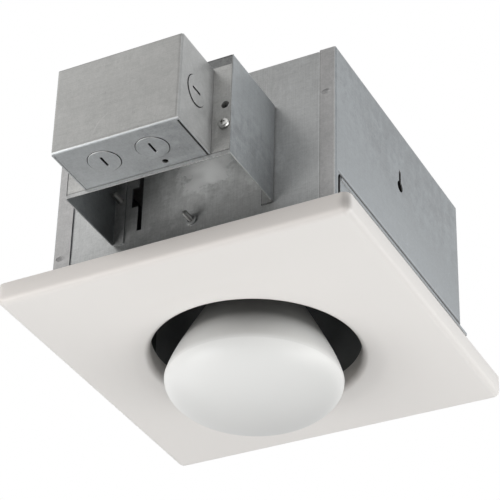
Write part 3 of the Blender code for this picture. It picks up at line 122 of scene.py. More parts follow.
# %% [markdown]
# ## Writing nodes as arithmetic
#
# A material here is a sum of small effects: rolling lines, spangle, clouds, worn edges. Placing the
# nodes one by one hides the sum. A `Signal` stands for one output socket, and plain arithmetic on it
# adds the Math nodes, so a finish reads like a formula. `Wiring` adds any other node.


# %% Signals and wiring
class Signal:
    """One output socket, on which arithmetic adds Math nodes."""

    def __init__(self, wiring, socket):
        self.wiring = wiring
        self.socket = socket

    def maths(self, operation, *others):
        return self.wiring.node("ShaderNodeMath", dict(enumerate((self, *others))), operation=operation)

    def __add__(self, other):
        return self.maths("ADD", other)

    def __mul__(self, other):
        return self.maths("MULTIPLY", other)

    def __sub__(self, other):
        return self.maths("SUBTRACT", other)

    def __rsub__(self, other):
        return self * -1 + other

    def __truediv__(self, other):
        return self.maths("DIVIDE", other)

    __radd__ = __add__
    __rmul__ = __mul__

    def clamp(self):
        return self.wiring.node("ShaderNodeClamp", {0: self})

    def step(self, low, high):
        """0 below low and 1 above high, with a soft rise between them."""
        return self.wiring.node("ShaderNodeMapRange", {0: self, 1: low, 2: high},
                                interpolation_type="SMOOTHSTEP")


class Wiring:
    """Adds nodes to one tree."""

    def __init__(self, tree):
        self.tree = tree

    def node(self, kind, sockets=None, out=0, **settings):
        """One node: its settings first, then the values or links of its sockets."""
        made = self.tree.nodes.new(kind)
        for key, value in settings.items():
            setattr(made, key, value)
        for key, value in (sockets or {}).items():
            self.join(made.inputs[key], value)
        return Signal(self, made.outputs[out])

    def join(self, socket, value):
        if isinstance(value, Signal):
            self.tree.links.new(value.socket, socket)
        else:
            socket.default_value = value

    def vector(self, operation, *values, out=0, **named):
        return self.node("ShaderNodeVectorMath", {**dict(enumerate(values)), **named}, out,
                         operation=operation)

    def split(self, vector):
        """The three parts of a vector."""
        parts = self.node("ShaderNodeSeparateXYZ", {0: vector}).socket.node.outputs
        return [Signal(self, part) for part in parts]

    def blend(self, share, first, second):
        """Two colours mixed by a share."""
        return self.node("ShaderNodeMix", {0: share, 6: first, 7: second}, 2, data_type="RGBA")


print("wiring ready")

# %% [markdown]
# ## Room, floor and lamps
#
# The heater hangs over a pale floor that lies below the camera. Wide soft lamps stand round it. The two
# strongest are low, one in front at the left and one at the right, and light the face plate and the
# glass. A third at the right lights the side panel evenly, and weak ones fill the rest. The white
# background is only what the camera and the reflections see. The light that falls on the heater comes
# from the lamps and from a dimmer world.

# %% Room and lamps
FLOOR_DEPTH = 1.62
FLOOR_HALF = 7.0
FLOOR_SQUARES = 4
WORLD_LIGHT = (0.12, 0.12, 0.123, 1)
BACKGROUND = (1.0, 1.0, 1.0, 1)
LAMP_AIM = Vector((0, -0.05, 0.03))
LAMP_SIZE = 0.9
LAMP_COLOUR = (1.0, 0.995, 0.985)
STUDIO_LAMPS = (
    ("lamp_right", (1.5, 0.45, -0.1), 9.4),
    ("lamp_low_right", (1.28, 0.05, -0.87), 12),
    ("lamp_front_left", (-0.96, -1.01, -0.8), 14),
    ("lamp_low_left", (-1.28, -0.05, -0.87), 4.6),
    ("lamp_low_back", (0.0, 1.23, -0.87), 1.5),
    ("lamp_high_left", (-0.96, -1.01, 0.8), 3),
    ("lamp_high_right", (0.96, -1.01, 0.8), 2),
)


def make_world():
    """White to the camera and to reflections, dim as a light."""
    world = bpy.data.worlds.new("studio")
    bpy.context.scene.world = world
    world.use_nodes = True
    tree = world.node_tree
    tree.nodes.clear()
    wiring = Wiring(tree)
    rays = wiring.node("ShaderNodeLightPath").socket.node.outputs
    seen = Signal(wiring, rays["Is Camera Ray"])
    for ray in ("Is Glossy Ray", "Is Transmission Ray"):
        seen = seen.maths("MAXIMUM", Signal(wiring, rays[ray]))
    dim, bright = [wiring.node("ShaderNodeBackground", {"Color": colour, "Strength": 1.0})
                   for colour in (WORLD_LIGHT, BACKGROUND)]
    both = wiring.node("ShaderNodeMixShader", {0: seen, 1: dim, 2: bright})
    output = tree.nodes.new("ShaderNodeOutputWorld")
    wiring.join(output.inputs[0], both)


def soft_lamp(name, place, watts):
    data = bpy.data.lights.new(name, "AREA")
    data.shape = "SQUARE"
    data.size = LAMP_SIZE
    data.energy = watts
    data.color = LAMP_COLOUR
    turn = (LAMP_AIM - Vector(place)).to_track_quat("-Z", "Y").to_matrix().to_4x4()
    add_object(name, data).matrix_world = Matrix.Translation(place) @ turn


def make_floor():
    bm = bmesh.new()
    bmesh.ops.create_grid(bm, x_segments=FLOOR_SQUARES, y_segments=FLOOR_SQUARES, size=FLOOR_HALF,
                          matrix=Matrix.Translation((0, 0, -FLOOR_DEPTH)))
    floor = new_piece("floor", bm)
    return floor


make_world()
floor = make_floor()
for lamp in STUDIO_LAMPS:
    soft_lamp(*lamp)
bpy.context.scene.view_settings.view_transform = "Standard"
print("room ready, lamps", len(STUDIO_LAMPS))

# %% [markdown]
# ## Starting a finish
#
# Every finish begins the same way: a Principled shader and the place on the object in metres. Object
# coordinates are used because each piece's object sits at the origin, so one pattern runs on from a
# panel to its neighbour as on sheet cut from one coil.


# %% Finish helpers
class Finish:
    """A material being written: its wiring, its shader and the place on the object."""

    def __init__(self, name, roughness, metallic=0.0, **fixed):
        self.material = bpy.data.materials.new(name)
        self.material.use_nodes = True
        tree = self.material.node_tree
        self.wiring = Wiring(tree)
        self.shader = tree.nodes["Principled BSDF"]
        self.place = self.wiring.node("ShaderNodeTexCoord", out="Object")
        self.set("Roughness", roughness)
        self.set("Metallic", metallic)
        for key, value in fixed.items():
            self.set(key.replace("_", " "), value)

    def set(self, key, value):
        self.wiring.join(self.shader.inputs[key], value)

    def noise(self, scale, detail=3.0, roughness=0.5, stretch=None):
        """Noise over the object, which a stretch draws out along an axis."""
        place = self.wiring.vector("MULTIPLY", self.place, stretch) if stretch else self.place
        return self.wiring.node("ShaderNodeTexNoise", {"Vector": place, "Scale": scale, "Detail": detail,
                                                       "Roughness": roughness})

    def tint(self, colour, share):
        """A colour made lighter or darker by a signal round 1."""
        return self.wiring.vector("SCALE", colour, Scale=share)

    def bump(self, height, strength, depth):
        """Relief of a given depth in metres."""
        self.set("Normal", self.wiring.node("ShaderNodeBump", {"Strength": strength, "Distance": depth,
                                                               "Height": height}))

    def facing(self):
        """How much the surface faces along X, Y and Z, whichever way."""
        normal = self.wiring.node("ShaderNodeNewGeometry", out="Normal")
        return self.wiring.split(self.wiring.vector("ABSOLUTE", normal))

    def axes(self):
        return self.wiring.split(self.place)

    def depths(self, low, high):
        """How far inside a box the place is along each axis."""
        return [(axis - bottom).maths("MINIMUM", top - axis)
                for axis, bottom, top in zip(self.axes(), low, high)]

    def within(self, low, high, soft):
        """1 inside a box, falling to 0 within a soft border outside it."""
        x, y, z = (depth.step(-soft, 0) for depth in self.depths(low, high))
        return x * y * z

    def edges(self, low, high, width):
        """1 along the edges of a box, falling to 0 within a width."""
        x, y, z = self.depths(low, high)
        second = x.maths("MINIMUM", y).maths("MAXIMUM", x.maths("MAXIMUM", y).maths("MINIMUM", z))
        return 1 - second.step(0, width)


print("finish helpers ready")

# %% [markdown]
# ## Galvanised sheet
#
# Zinc freezes on steel in small crystals, the spangle, and the rolls then draw fine lines through it.
# Both are faint on this sheet. A Voronoi texture gives the crystals, noise stretched along the rolling
# direction gives the lines, and slow noise gives the cloudy stains of stored sheet. Cut and folded
# edges are painted brighter, partly as rubbed wear and partly as a painted highlight. Handling leaves
# hairline scratches, which are the thin crests of a slow noise. Each piece takes three tones, for faces
# that look along Y, X and Z, and the darker tones for faces along X are painted shade. The pattern
# feeds colour, roughness and relief.
#
# Two kinds of mark come on top, and most of them are painted light and shade. A soft mark is a cloudy
# spot: a place, its reach along each axis and how much it lightens or darkens. A strip is crisp: two
# corners of a box, a soft border and the same gain.

# %% Galvanised recipe
ROLLED_LONG, ROLLED_FINE = 30.0, 1300.0
WEAVE_LONG, WEAVE_FINE = 60.0, 1000.0
SPANGLE_SCALE = 340.0
SHEET_ROUGHNESS = 0.38
SHEET_METALLIC = 0.3
EDGE_WEAR_AND_SHEEN_WIDTH = 0.0016
SCRATCH_WIDTH = 0.0022
SHEET_RELIEF = 0.00007
MARK_CORE = 0.15
TURNED_FACE = (0.4, 0.8)


def galvanised(name, tones, rolled, box, lines=1.0, soft_marks=(), light_and_shade_strips=()):
    """Zinc-coated sheet: rolled is the axis that the rolling lines follow."""
    finish = Finish(name, SHEET_ROUGHNESS, SHEET_METALLIC)
    wiring = finish.wiring
    drawn = finish.noise(1.0, 3.0, 0.65, [ROLLED_LONG if axis == rolled else ROLLED_FINE for axis in "XYZ"])
    weave = finish.noise(1.0, 2.0, 0.5, [WEAVE_FINE if axis == rolled else WEAVE_LONG for axis in "XYZ"])
    crystal = wiring.node("ShaderNodeTexVoronoi", {"Vector": finish.place, "Scale": SPANGLE_SCALE}, "Color")
    crystal = wiring.node("ShaderNodeSeparateColor", {0: crystal})
    speck = finish.noise(900.0, 2.0, 0.6)
    clouds = finish.noise(24.0, 4.0, 0.6)
    stains = finish.noise(110.0, 4.0, 0.65)
    spots = finish.noise(330.0, 3.0, 0.6).step(0.62, 0.78)
    crest = finish.noise(9.0, 3.0, 0.45) - 0.5
    hairline = 1 - crest.maths("ABSOLUTE").step(0.0, SCRATCH_WIDTH)
    hairline = hairline * finish.noise(60.0, 2.0, 0.5).step(0.52, 0.60)
    # Painted highlight with some rubbed wear: the edges of the sheet's box are painted brighter.
    edge_wear_and_sheen = finish.edges(*box, EDGE_WEAR_AND_SHEEN_WIDTH)
    tone = (1 + (drawn - 0.5) * (0.42 * lines) + (weave - 0.5) * (0.20 * lines) + (crystal - 0.5) * 0.08
            + (speck - 0.5) * 0.34 + (clouds - 0.5) * 0.34 + (stains - 0.5) * 0.34
            - spots * 0.16 + edge_wear_and_sheen * 0.22 + hairline * 0.16)
    ragged = (stains - 0.5) * 1.3 + (clouds - 0.5) * 1.2
    # Soft marks and strips paint light and shade onto the sheet, with a few darker marks.
    for place, reach, gain in soft_marks:
        away = wiring.vector("DIVIDE", wiring.vector("SUBTRACT", finish.place, place), reach)
        length = wiring.vector("LENGTH", away, out="Value") + ragged
        tone = tone + (1 - length.step(MARK_CORE, 1.0)) * gain
    for low, high, soft, gain in light_and_shade_strips:
        tone = tone + finish.within(low, high, soft) * gain
    # Painted shade: faces that look along X take the darker side tone, faces along Z the under tone.
    faces_x, _, faces_z = finish.facing()
    front, shaded_sides, under = tones
    colour = wiring.blend(faces_x.step(*TURNED_FACE), front, shaded_sides)
    colour = wiring.blend(faces_z.step(*TURNED_FACE), colour, under)
    finish.set("Base Color", finish.tint(colour, tone))
    finish.set("Roughness", SHEET_ROUGHNESS + (clouds - 0.5) * 0.18 + (crystal - 0.5) * 0.05
               + (drawn - 0.5) * 0.10 - edge_wear_and_sheen * 0.06)
    finish.bump(drawn * (0.5 * lines) + crystal * 0.35 + speck * 0.3 + hairline * 0.3, 0.25, SHEET_RELIEF)
    return finish.material


def box_of(*names):
    """The box round some CAD nodes."""
    lows, highs = zip(*(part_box(name) for name in names))
    return [min(values) for values in zip(*lows)], [max(values) for values in zip(*highs)]


house_low, house_high = house_box = box_of("side_left", "side_right")
channel_low, channel_high = channel_box = box_of("channel_box")
wire_low, wire_high = wire_box = box_of("wiring_box")
print("housing", house_box, "channel box", channel_box, "wiring box", wire_box)

# %% [markdown]
# The housing's sheets come first. Inside the channel box the front has a painted pool of light and
# painted shade low down, and right of the box it is painted a little lighter. The flanges carry two
# clinch marks, painted darker. The left front flange is painted a little darker, and the right side is
# painted darker at the top and lighter at the foot, as shade and light. A painted highlight runs along
# the lap beside the right flange and a painted shadow along its edge, and a thin painted shadow, with a
# painted highlight just above it, runs along the sheared edge over the cut-away foot.

# %% Sheets of the housing
FRONT_TONE = (0.468, 0.475, 0.472, 1)
# Painted shade: the side tone darkens the housing's faces that look along X.
SIDE_SHADE_TONE = (0.262, 0.283, 0.298, 1)
FLANGE_TONE = (0.445, 0.441, 0.438, 1)
FLANGE_WIDTH = 0.0122
CUT_EDGE = 0.040
HOUSE_FRONT = house_low[1]
FLANGE_EDGE = house_high[0] - FLANGE_WIDTH
CLINCH_RIGHT = (0.1021, HOUSE_FRONT, 0.107)
CLINCH_LEFT = (-0.1036, HOUSE_FRONT, 0.0272)
CLINCH_REACH = (0.0040, 0.002, 0.0030)
# Painted light: a pool of light on the front inside the channel box, a lighter patch to its right and painted
# shade low down.
front_light_and_shade = (((0.0105, HOUSE_FRONT, 0.0715), (0.026, 0.01, 0.024), 1.7),
         ((0.012, HOUSE_FRONT, 0.070), (0.060, 0.02, 0.055), 0.75),
         ((0.085, HOUSE_FRONT, 0.065), (0.045, 0.02, 0.070), 0.15),
         ((-0.020, HOUSE_FRONT, 0.030), (0.060, 0.02, 0.030), -0.20))
# Two clinch marks painted darker, and painted light and shade: left front flange darker, right side darker at
# top, lighter at foot.
clinch_marks_and_shade = ((CLINCH_RIGHT, CLINCH_REACH, -0.5),
           (CLINCH_LEFT, CLINCH_REACH, -0.5),
           ((house_low[0], HOUSE_FRONT, 0.06), (0.03, 0.02, 0.12), -0.10),
           ((house_high[0], 0, 0.150), (0.01, 0.17, 0.075), -0.16),
           ((house_high[0], 0, 0.030), (0.01, 0.17, 0.060), 0.15))
lap_near, lap_far = HOUSE_FRONT - 0.001, HOUSE_FRONT + 0.003
# Painted highlight along the lap beside the right flange.
lap_highlight = (((FLANGE_EDGE - 0.0012, lap_near, 0), (FLANGE_EDGE, lap_far, 0.2), 0.0002, 0.25),)
# Painted shadow along the right flange's edge and along the sheared edge over the cut-away foot, with a
# painted highlight just above the latter.
cut_edge_low = (house_high[0] - 0.002, HOUSE_FRONT + 0.004)
cut_edge_high = (house_high[0] + 0.001, house_high[1] - 0.004)
edge_shade_and_highlight = (((FLANGE_EDGE, lap_near, 0), (FLANGE_EDGE + 0.0005, lap_far, 0.2), 0.0003, -0.22),
          ((*cut_edge_low, CUT_EDGE - 0.001), (*cut_edge_high, CUT_EDGE + 0.0009), 0.0003, -0.35),
          ((*cut_edge_low, CUT_EDGE + 0.0014), (*cut_edge_high, CUT_EDGE + 0.0024), 0.0003, 0.22))
housing_sheet = galvanised("galvanised_housing", (FRONT_TONE, SIDE_SHADE_TONE, FRONT_TONE), "Z", house_box,
                           soft_marks=front_light_and_shade, light_and_shade_strips=lap_highlight)
side_sheet = galvanised("galvanised_side", (FLANGE_TONE, SIDE_SHADE_TONE, FLANGE_TONE), "Z", house_box, 0.6,
                        clinch_marks_and_shade, edge_shade_and_highlight)
print("housing finishes", housing_sheet.name, side_sheet.name)

# %% [markdown]
# The channel box has painted shade under its visor, along the flange that lies on the housing and at
# that flange's foot, at its right wall's foot and on its left wall. Its wiring panel is paler, with
# painted shade in and round the plunged hole and at its lower corners, and a painted shadow line at
# its foot.

# %% Sheets of the channel box
# Painted shade: the channel's side tone darkens faces that look along X.
CHANNEL_SIDE_SHADE_TONE = (0.295, 0.315, 0.328, 1)
PANEL_TONE = (0.56, 0.56, 0.545, 1)
CHANNEL_FRONT, CHANNEL_BACK = channel_low[1], channel_high[1]
CHANNEL_MIDDLE = (CHANNEL_FRONT + CHANNEL_BACK) / 2
FLANGE_IN = channel_high[0] - 0.0091
HOLE_PLACE = (0.0579, -0.1658, 0.0672)
panel_low, panel_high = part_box("wiring_panel")
# Painted shade under the visor, along the flange and at its foot, at the right wall's foot and on the left
# wall.
visor_shade = ((channel_low[0] + 0.0015, CHANNEL_FRONT - 0.002, 0.100),
               (channel_high[0] - 0.0013, CHANNEL_FRONT + 0.02, 0.1078), 0.0002, -0.34)
flange_shade_line = ((FLANGE_IN - 0.0002, CHANNEL_BACK - 0.004, 0), (FLANGE_IN + 0.0005, CHANNEL_BACK, 0.2),
               0.0002, -0.45)
flange_foot_shade = ((FLANGE_IN, CHANNEL_BACK - 0.004, channel_low[2] - 0.001),
               (channel_high[0], CHANNEL_BACK, channel_low[2] + 0.0007), 0.0002, -0.55)
wall_foot_shade = ((channel_high[0], CHANNEL_MIDDLE, 0.026), (0.02, 0.09, 0.05), -0.22)
inner_left_shade = ((channel_low[0], CHANNEL_MIDDLE, 0.05), (0.012, 0.10, 0.09), -0.25)
# Painted shade in and round the plunged hole and at the panel's lower corners.
panel_shade = ((HOLE_PLACE, (0.005, 0.0052, 0.005), -0.9),
           ((channel_high[0], HOLE_PLACE[1], panel_low.z), (0.035, 0.02, 0.03), -0.20),
           ((channel_low[0], HOLE_PLACE[1], panel_low.z), (0.04, 0.02, 0.05), -0.20))
# Painted shadow line along the panel's foot.
panel_foot_shadow = ((channel_low[0], CHANNEL_FRONT, panel_low.z - 0.001),
              (channel_high[0], CHANNEL_FRONT + 0.01, panel_low.z + 0.0007), 0.0003, -0.4)
channel_sheet = galvanised("galvanised_channel", (FRONT_TONE, CHANNEL_SIDE_SHADE_TONE, FRONT_TONE), "Z",
                           channel_box, 0.8, (wall_foot_shade, inner_left_shade),
                           (visor_shade, flange_shade_line, flange_foot_shade))
panel_sheet = galvanised("galvanised_panel", (PANEL_TONE,) * 3, "Z", channel_box, 0.6, panel_shade,
                         (panel_foot_shadow,))
print("channel finishes", channel_sheet.name, panel_sheet.name)

# %% [markdown]
# The wiring box is folded across the coil, so its lines run along X. A painted highlight runs along the
# bend at its front foot. The underside has a darker, bluer tone, painted lighter at the left and darker
# at the right, and the front is painted a little lighter at the top. The discs of the knockouts take the
# same sheet, but their sheared rims are painted by which way they face: some dark as shade, others
# bright as a highlight.

# %% Sheets of the wiring box
BOX_TONE = (0.388, 0.388, 0.378, 1)
# Painted shade: the box's side tone darkens faces that look along X.
BOX_SIDE_SHADE_TONE = (0.36, 0.367, 0.366, 1)
BOX_UNDER_TONE = (0.33, 0.345, 0.353, 1)
# Knockout rims: the dark rim tone is painted shade and the bright one a painted highlight.
SHADED_RIM = (0.03, 0.031, 0.032, 1)
HIGHLIGHT_RIM = (0.85, 0.85, 0.84, 1)
# Painted highlight along the front foot's bend, painted light and shade on the underside, painted light at
# the front's top.
bend_highlight = ((wire_low[0], wire_low[1] - 0.001, wire_low[2] - 0.001),
        (wire_high[0], wire_low[1] + 0.0016, wire_low[2] + 0.0009), 0.0005, 0.55)
under_left_light = ((wire_low[0], (wire_low[1] + wire_high[1]) / 2, wire_low[2]), (0.06, 0.08, 0.004), 0.14)
under_right_shade = ((wire_high[0], wire_high[1], wire_low[2]), (0.06, 0.06, 0.004), -0.16)
box_top_light = (((wire_low[0] + wire_high[0]) / 2, wire_low[1], wire_high[2]), (0.09, 0.01, 0.035), 0.08)
BOX_SHEETS = (
    ("box", (BOX_TONE, BOX_SIDE_SHADE_TONE, BOX_UNDER_TONE), (under_left_light, under_right_shade, box_top_light), (bend_highlight,)),
    ("side_disc", (SHADED_RIM, BOX_SIDE_SHADE_TONE, SHADED_RIM), (), ()),
    ("low_disc", (HIGHLIGHT_RIM, SHADED_RIM, BOX_UNDER_TONE), (under_left_light, under_right_shade), ()),
)
box_sheet, side_disc_sheet, low_disc_sheet = [
    galvanised("galvanised_" + name, tones, "X", wire_box, 0.6, soft_marks, light_and_shade_strips)
    for name, tones, soft_marks, light_and_shade_strips in BOX_SHEETS]
print("box finishes", box_sheet.name, side_disc_sheet.name, low_disc_sheet.name)

# %% [markdown]
# ## Enamel and the other finishes
#
# White enamel is sprayed and baked: it levels almost flat, so only a long soft ripple is left in its
# gloss. The rim carries painted light and shade: the front rim is painted lighter and warmer, the side
# rims darker, and the nearest corner darkest. The can's black enamel is thin and matt, with painted
# shade behind the seam.

# %% Enamels
ENAMEL_FACE = (0.848, 0.828, 0.805, 1)
ENAMEL_RIM_LIT_TONE = (0.848, 0.807, 0.770, 1)
BLACK_ENAMEL = (0.165, 0.172, 0.176)
plate_low, plate_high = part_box("face_plate")
# Painted shade round the plate's nearest corner.
shaded_corner = (plate_high.x - 0.001, plate_low.y, -0.007)
can_low, can_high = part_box("heat_can")
SEAM_Y = (can_low.y + can_high.y) / 2 - 0.005
# Painted shade: the box behind the can's seam where the black is darker.
SEAM_SHADE_LOW = (can_low.x - 0.002, can_low.y, can_low.z - 0.001)
SEAM_SHADE_HIGH = (can_low.x + 0.025, SEAM_Y, can_high.z)


def white_enamel(name):
    """Sprayed enamel, with painted light and shade on the rim, darkest round the plate's nearest corner."""
    finish = Finish(name, 0.42, Specular_IOR_Level=0.45)
    ripple = finish.noise(190.0)
    fine = finish.noise(1500.0, 2.0)
    slow = finish.noise(14.0, 2.0)
    faces_x, faces_y, _ = finish.facing()
    # Painted light and shade by facing: side rims darker, front rim lighter and warmer, nearest corner
    # darkest.
    tone = 1 + (slow - 0.5) * 0.02 + (fine - 0.5) * 0.018 - faces_x * 0.125 - faces_y * 0.03
    away = finish.wiring.vector("DISTANCE", finish.place, shaded_corner, out="Value")
    tone = tone + faces_y.step(0.6, 1.0) * 0.17 - (1 - away.step(0.001, 0.0085)) * 0.30
    finish.set("Base Color", finish.tint(finish.wiring.blend(faces_y, ENAMEL_FACE, ENAMEL_RIM_LIT_TONE), tone))
    finish.set("Roughness", 0.42 + (slow - 0.5) * 0.08 + (ripple - 0.5) * 0.04)
    finish.bump(ripple * 0.7 + fine * 0.3, 0.12, 0.00008)
    return finish.material


def black_enamel(name):
    """Thin matt enamel, with painted shade behind the seam."""
    finish = Finish(name, 0.45, Specular_IOR_Level=0.5)
    fine = finish.noise(1300.0, 3.0, 0.6)
    slow = finish.noise(40.0, 3.0, 0.55)
    tone = 1 + (fine - 0.5) * 0.5 + (slow - 0.5) * 0.5
    # Painted shade behind the seam.
    tone = tone * (1 - finish.within(SEAM_SHADE_LOW, SEAM_SHADE_HIGH, 0.0003) * 0.85)
    finish.set("Base Color", finish.tint(BLACK_ENAMEL, tone))
    finish.set("Roughness", 0.50 + (slow - 0.5) * 0.2)
    finish.bump(fine, 0.25, 0.00006)
    return finish.material


enamel = white_enamel("white_enamel")
can_black = black_enamel("black_enamel")
print("enamels", enamel.name, can_black.name)

# %% [markdown]
# Small hardware comes in a handful of metals and mouldings. They share one recipe: a colour that
# varies a little from place to place, fine grain, and a gloss that follows both. Each row gives the
# colour, the roughness, the metallic share, the scale of the grain and, where the usual quarter won't
# do, how mottled the colour is.

# %% Hardware finishes
HARDWARE_RELIEF = 0.00004
HARDWARE = {
    "zinc_fastener": ((0.47, 0.47, 0.455), 0.30, 1.0, 1400.0),
    "clear_glass": ((0.80, 0.83, 0.82), 0.12, 0.0, 500.0, 0.04),
    "black_glass": ((0.02, 0.02, 0.022), 0.16, 0.0, 700.0, 0.3),
    "brass": ((0.62, 0.47, 0.24), 0.30, 1.0, 1100.0),
    "porcelain": ((0.80, 0.78, 0.73), 0.22, 0.0, 350.0, 0.05),
    "tungsten": ((0.26, 0.25, 0.25), 0.42, 1.0, 4000.0),
    "spring_steel": ((0.30, 0.31, 0.33), 0.30, 1.0, 1300.0),
    "phenolic": ((0.035, 0.028, 0.026), 0.42, 0.0, 1800.0, 0.4),
    "black_insulation": ((0.018, 0.018, 0.019), 0.46, 0.0, 1500.0, 0.3),
    "white_insulation": ((0.72, 0.71, 0.67), 0.46, 0.0, 1500.0, 0.08),
    "copper": ((0.66, 0.34, 0.20), 0.30, 1.0, 1500.0),
    "green_screw": ((0.03, 0.20, 0.08), 0.34, 0.7, 1300.0),
    "black_nylon": ((0.022, 0.022, 0.023), 0.44, 0.0, 1600.0, 0.3),
}


def hardware(name, colour, roughness, metallic, grain, mottle=0.25):
    finish = Finish(name, roughness, metallic)
    fine = finish.noise(grain, 3.0, 0.6)
    slow = finish.noise(grain / 9, 3.0, 0.55)
    tone = 1 + (fine - 0.5) * mottle + (slow - 0.5) * mottle
    finish.set("Base Color", finish.tint(colour, tone))
    finish.set("Roughness", roughness + (slow - 0.5) * 0.18 + (fine - 0.5) * 0.08)
    finish.bump(fine * 0.6 + slow * 0.4, 0.3, HARDWARE_RELIEF)
    return finish.material


finishes = {name: hardware(name, *recipe) for name, recipe in HARDWARE.items()}
finishes.update(galvanised_sheet=housing_sheet, box_sheet=box_sheet, white_enamel=enamel,
                black_enamel=can_black)
print("finishes", len(finishes))

# %% [markdown]
# ## The lamp's coats
#
# The lamp is one glass skin with two coats inside: frost on the face and mirror silver on the cone. The
# frost ends in a crisp line that runs round the glass at its widest ring, where a thinner frost goes on
# for a little and fades into silver. Nearly all of it depends on height alone, so the place's Z, passed
# through a few steps, says how much frost and silver there is. Painted shade darkens the frost slowly
# towards the back and a little at the crown, and darkens the silver towards the neck.

# %% Lamp glass finish
FROST = (0.778, 0.783, 0.773)
SILVER = (0.86, 0.86, 0.84)
BOWL_HEIGHT = 0.027
LAMP_LOW, LAMP_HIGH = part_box("lamp_glass")
LAMP_AXIS = Vector(((LAMP_LOW.x + LAMP_HIGH.x) / 2, (LAMP_LOW.y + LAMP_HIGH.y) / 2, 0))
LAMP_RADIUS = (LAMP_HIGH.x - LAMP_LOW.x) / 2


def lamp_coats(name):
    finish = Finish(name, 0.35, Specular_IOR_Level=0.4)
    across, along, height = finish.axes()
    ring = LAMP_LOW.z + BOWL_HEIGHT
    ragged = finish.noise(60.0, 3.0, 0.6)
    silver = (height + (ragged - 0.5) * 0.002).step(ring + 0.014, ring + 0.026)
    # Painted shade: darker frost at the crown and towards the back, darker silver towards the neck.
    crown_shade = 1 - height.step(LAMP_LOW.z, ring)
    back_shade = (along - LAMP_AXIS.y) * (0.19 / LAMP_RADIUS) + (across - LAMP_AXIS.x) * (0.03 / LAMP_RADIUS)
    neck_shade = height.step(ring + 0.017, ring + 0.027)
    thinner = height.step(ring - 0.0025, ring - 0.0018)
    fine = finish.noise(1400.0, 3.0, 0.6)
    slow = finish.noise(30.0)
    frost = finish.tint(FROST, 1 + (fine - 0.5) * 0.03 + (slow - 0.5) * 0.025
                        - crown_shade * 0.06 - thinner * 0.09 - back_shade)
    mirror = finish.tint(SILVER, 1 + (slow - 0.5) * 0.12 + (fine - 0.5) * 0.05 - neck_shade * 0.42)
    finish.set("Base Color", finish.wiring.blend(silver, frost, mirror))
    finish.set("Metallic", silver * 0.5)
    finish.set("Roughness", 0.40 - silver * 0.10 + (slow - 0.5) * 0.10)
    finish.bump(fine * (1 - silver * 0.7) + slow * 0.4, 0.15, 0.00004)
    return finish.material


finishes["lamp_glass"] = lamp_coats("lamp_glass")
print("lamp from", [round(value, 4) for value in LAMP_LOW], "radius", round(LAMP_RADIUS, 4))

# %% [markdown]
# ## Helpers for pieces
#
# `finish_piece` gives a finished mesh its material, puts it on a body and hides the CAD nodes it stands
# for. It prints the signed volume, which is positive when the faces look outwards. `bake` turns live
# modifiers into a plain mesh, and three helpers add the usual ones.

# %% Piece helpers
SHARP_ANGLE = math.radians(50)
FLAT_ANGLE = math.radians(0.6)
WELD_REACH = 0.000002


def bake(piece):
    """Replaces a piece's mesh by what its modifiers make of it."""
    seen = bpy.context.evaluated_depsgraph_get()
    seen.update()
    data = bpy.data.meshes.new_from_object(piece.evaluated_get(seen))
    piece.modifiers.clear()
    piece.data = data
    data.name = piece.name
    return piece


def volume(piece):
    """Signed volume in cubic centimetres."""
    bm = bmesh.new()
    bm.from_mesh(piece.data)
    size = bm.calc_volume(signed=True)
    bm.free()
    return round(size * 1e6, 3)


def finish_piece(piece, body, material, *stands_for):
    """Gives a piece its material and its body, and hides the CAD nodes it stands for."""
    piece.data.materials.clear()
    piece.data.materials.append(material)
    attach(piece, body)
    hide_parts(*stands_for)
    print(piece.name, "faces", len(piece.data.polygons), "cm3", volume(piece))


def shade(piece, degrees=35):
    """Smooth shading that stops at edges sharper than an angle."""
    for polygon in piece.data.polygons:
        polygon.use_smooth = True
    piece.data.set_sharp_from_angle(angle=math.radians(degrees))


def soften(piece, width, segments=2):
    """A narrow bevel on every sharp edge."""
    bevel = piece.modifiers.new("Edge", "BEVEL")
    bevel.width = width
    bevel.segments = segments
    bevel.limit_method = "ANGLE"
    bevel.angle_limit = SHARP_ANGLE


def thicken(piece, sheet, side, even=False):
    """A wall on one side of a surface: side is 1 or -1."""
    wall = piece.modifiers.new("Wall", "SOLIDIFY")
    wall.thickness = sheet
    wall.offset = side
    wall.use_even_offset = even


def carve(piece, tools):
    """Cuts the tools out of a piece and removes them."""
    for tool in tools:
        cut = piece.modifiers.new("Cut", "BOOLEAN")
        cut.operation = "DIFFERENCE"
        cut.solver = "EXACT"
        cut.object = tool
    bake(piece)
    for tool in tools:
        bpy.data.objects.remove(tool)


def merged(name):
    """A copy of a CAD node's mesh, its triangles merged into whole faces."""
    bm = bmesh.new()
    bm.from_mesh(nodes[name].data)
    bmesh.ops.remove_doubles(bm, verts=bm.verts, dist=WELD_REACH)
    bmesh.ops.dissolve_limit(bm, angle_limit=FLAT_ANGLE, verts=bm.verts, edges=bm.edges)
    return bm


def quarter_turn(steps):
    """Cosine and sine at equal steps from 0 to 90 degrees."""
    angles = [math.radians(90) * step / steps for step in range(steps + 1)]
    return [(math.cos(angle), math.sin(angle)) for angle in angles]


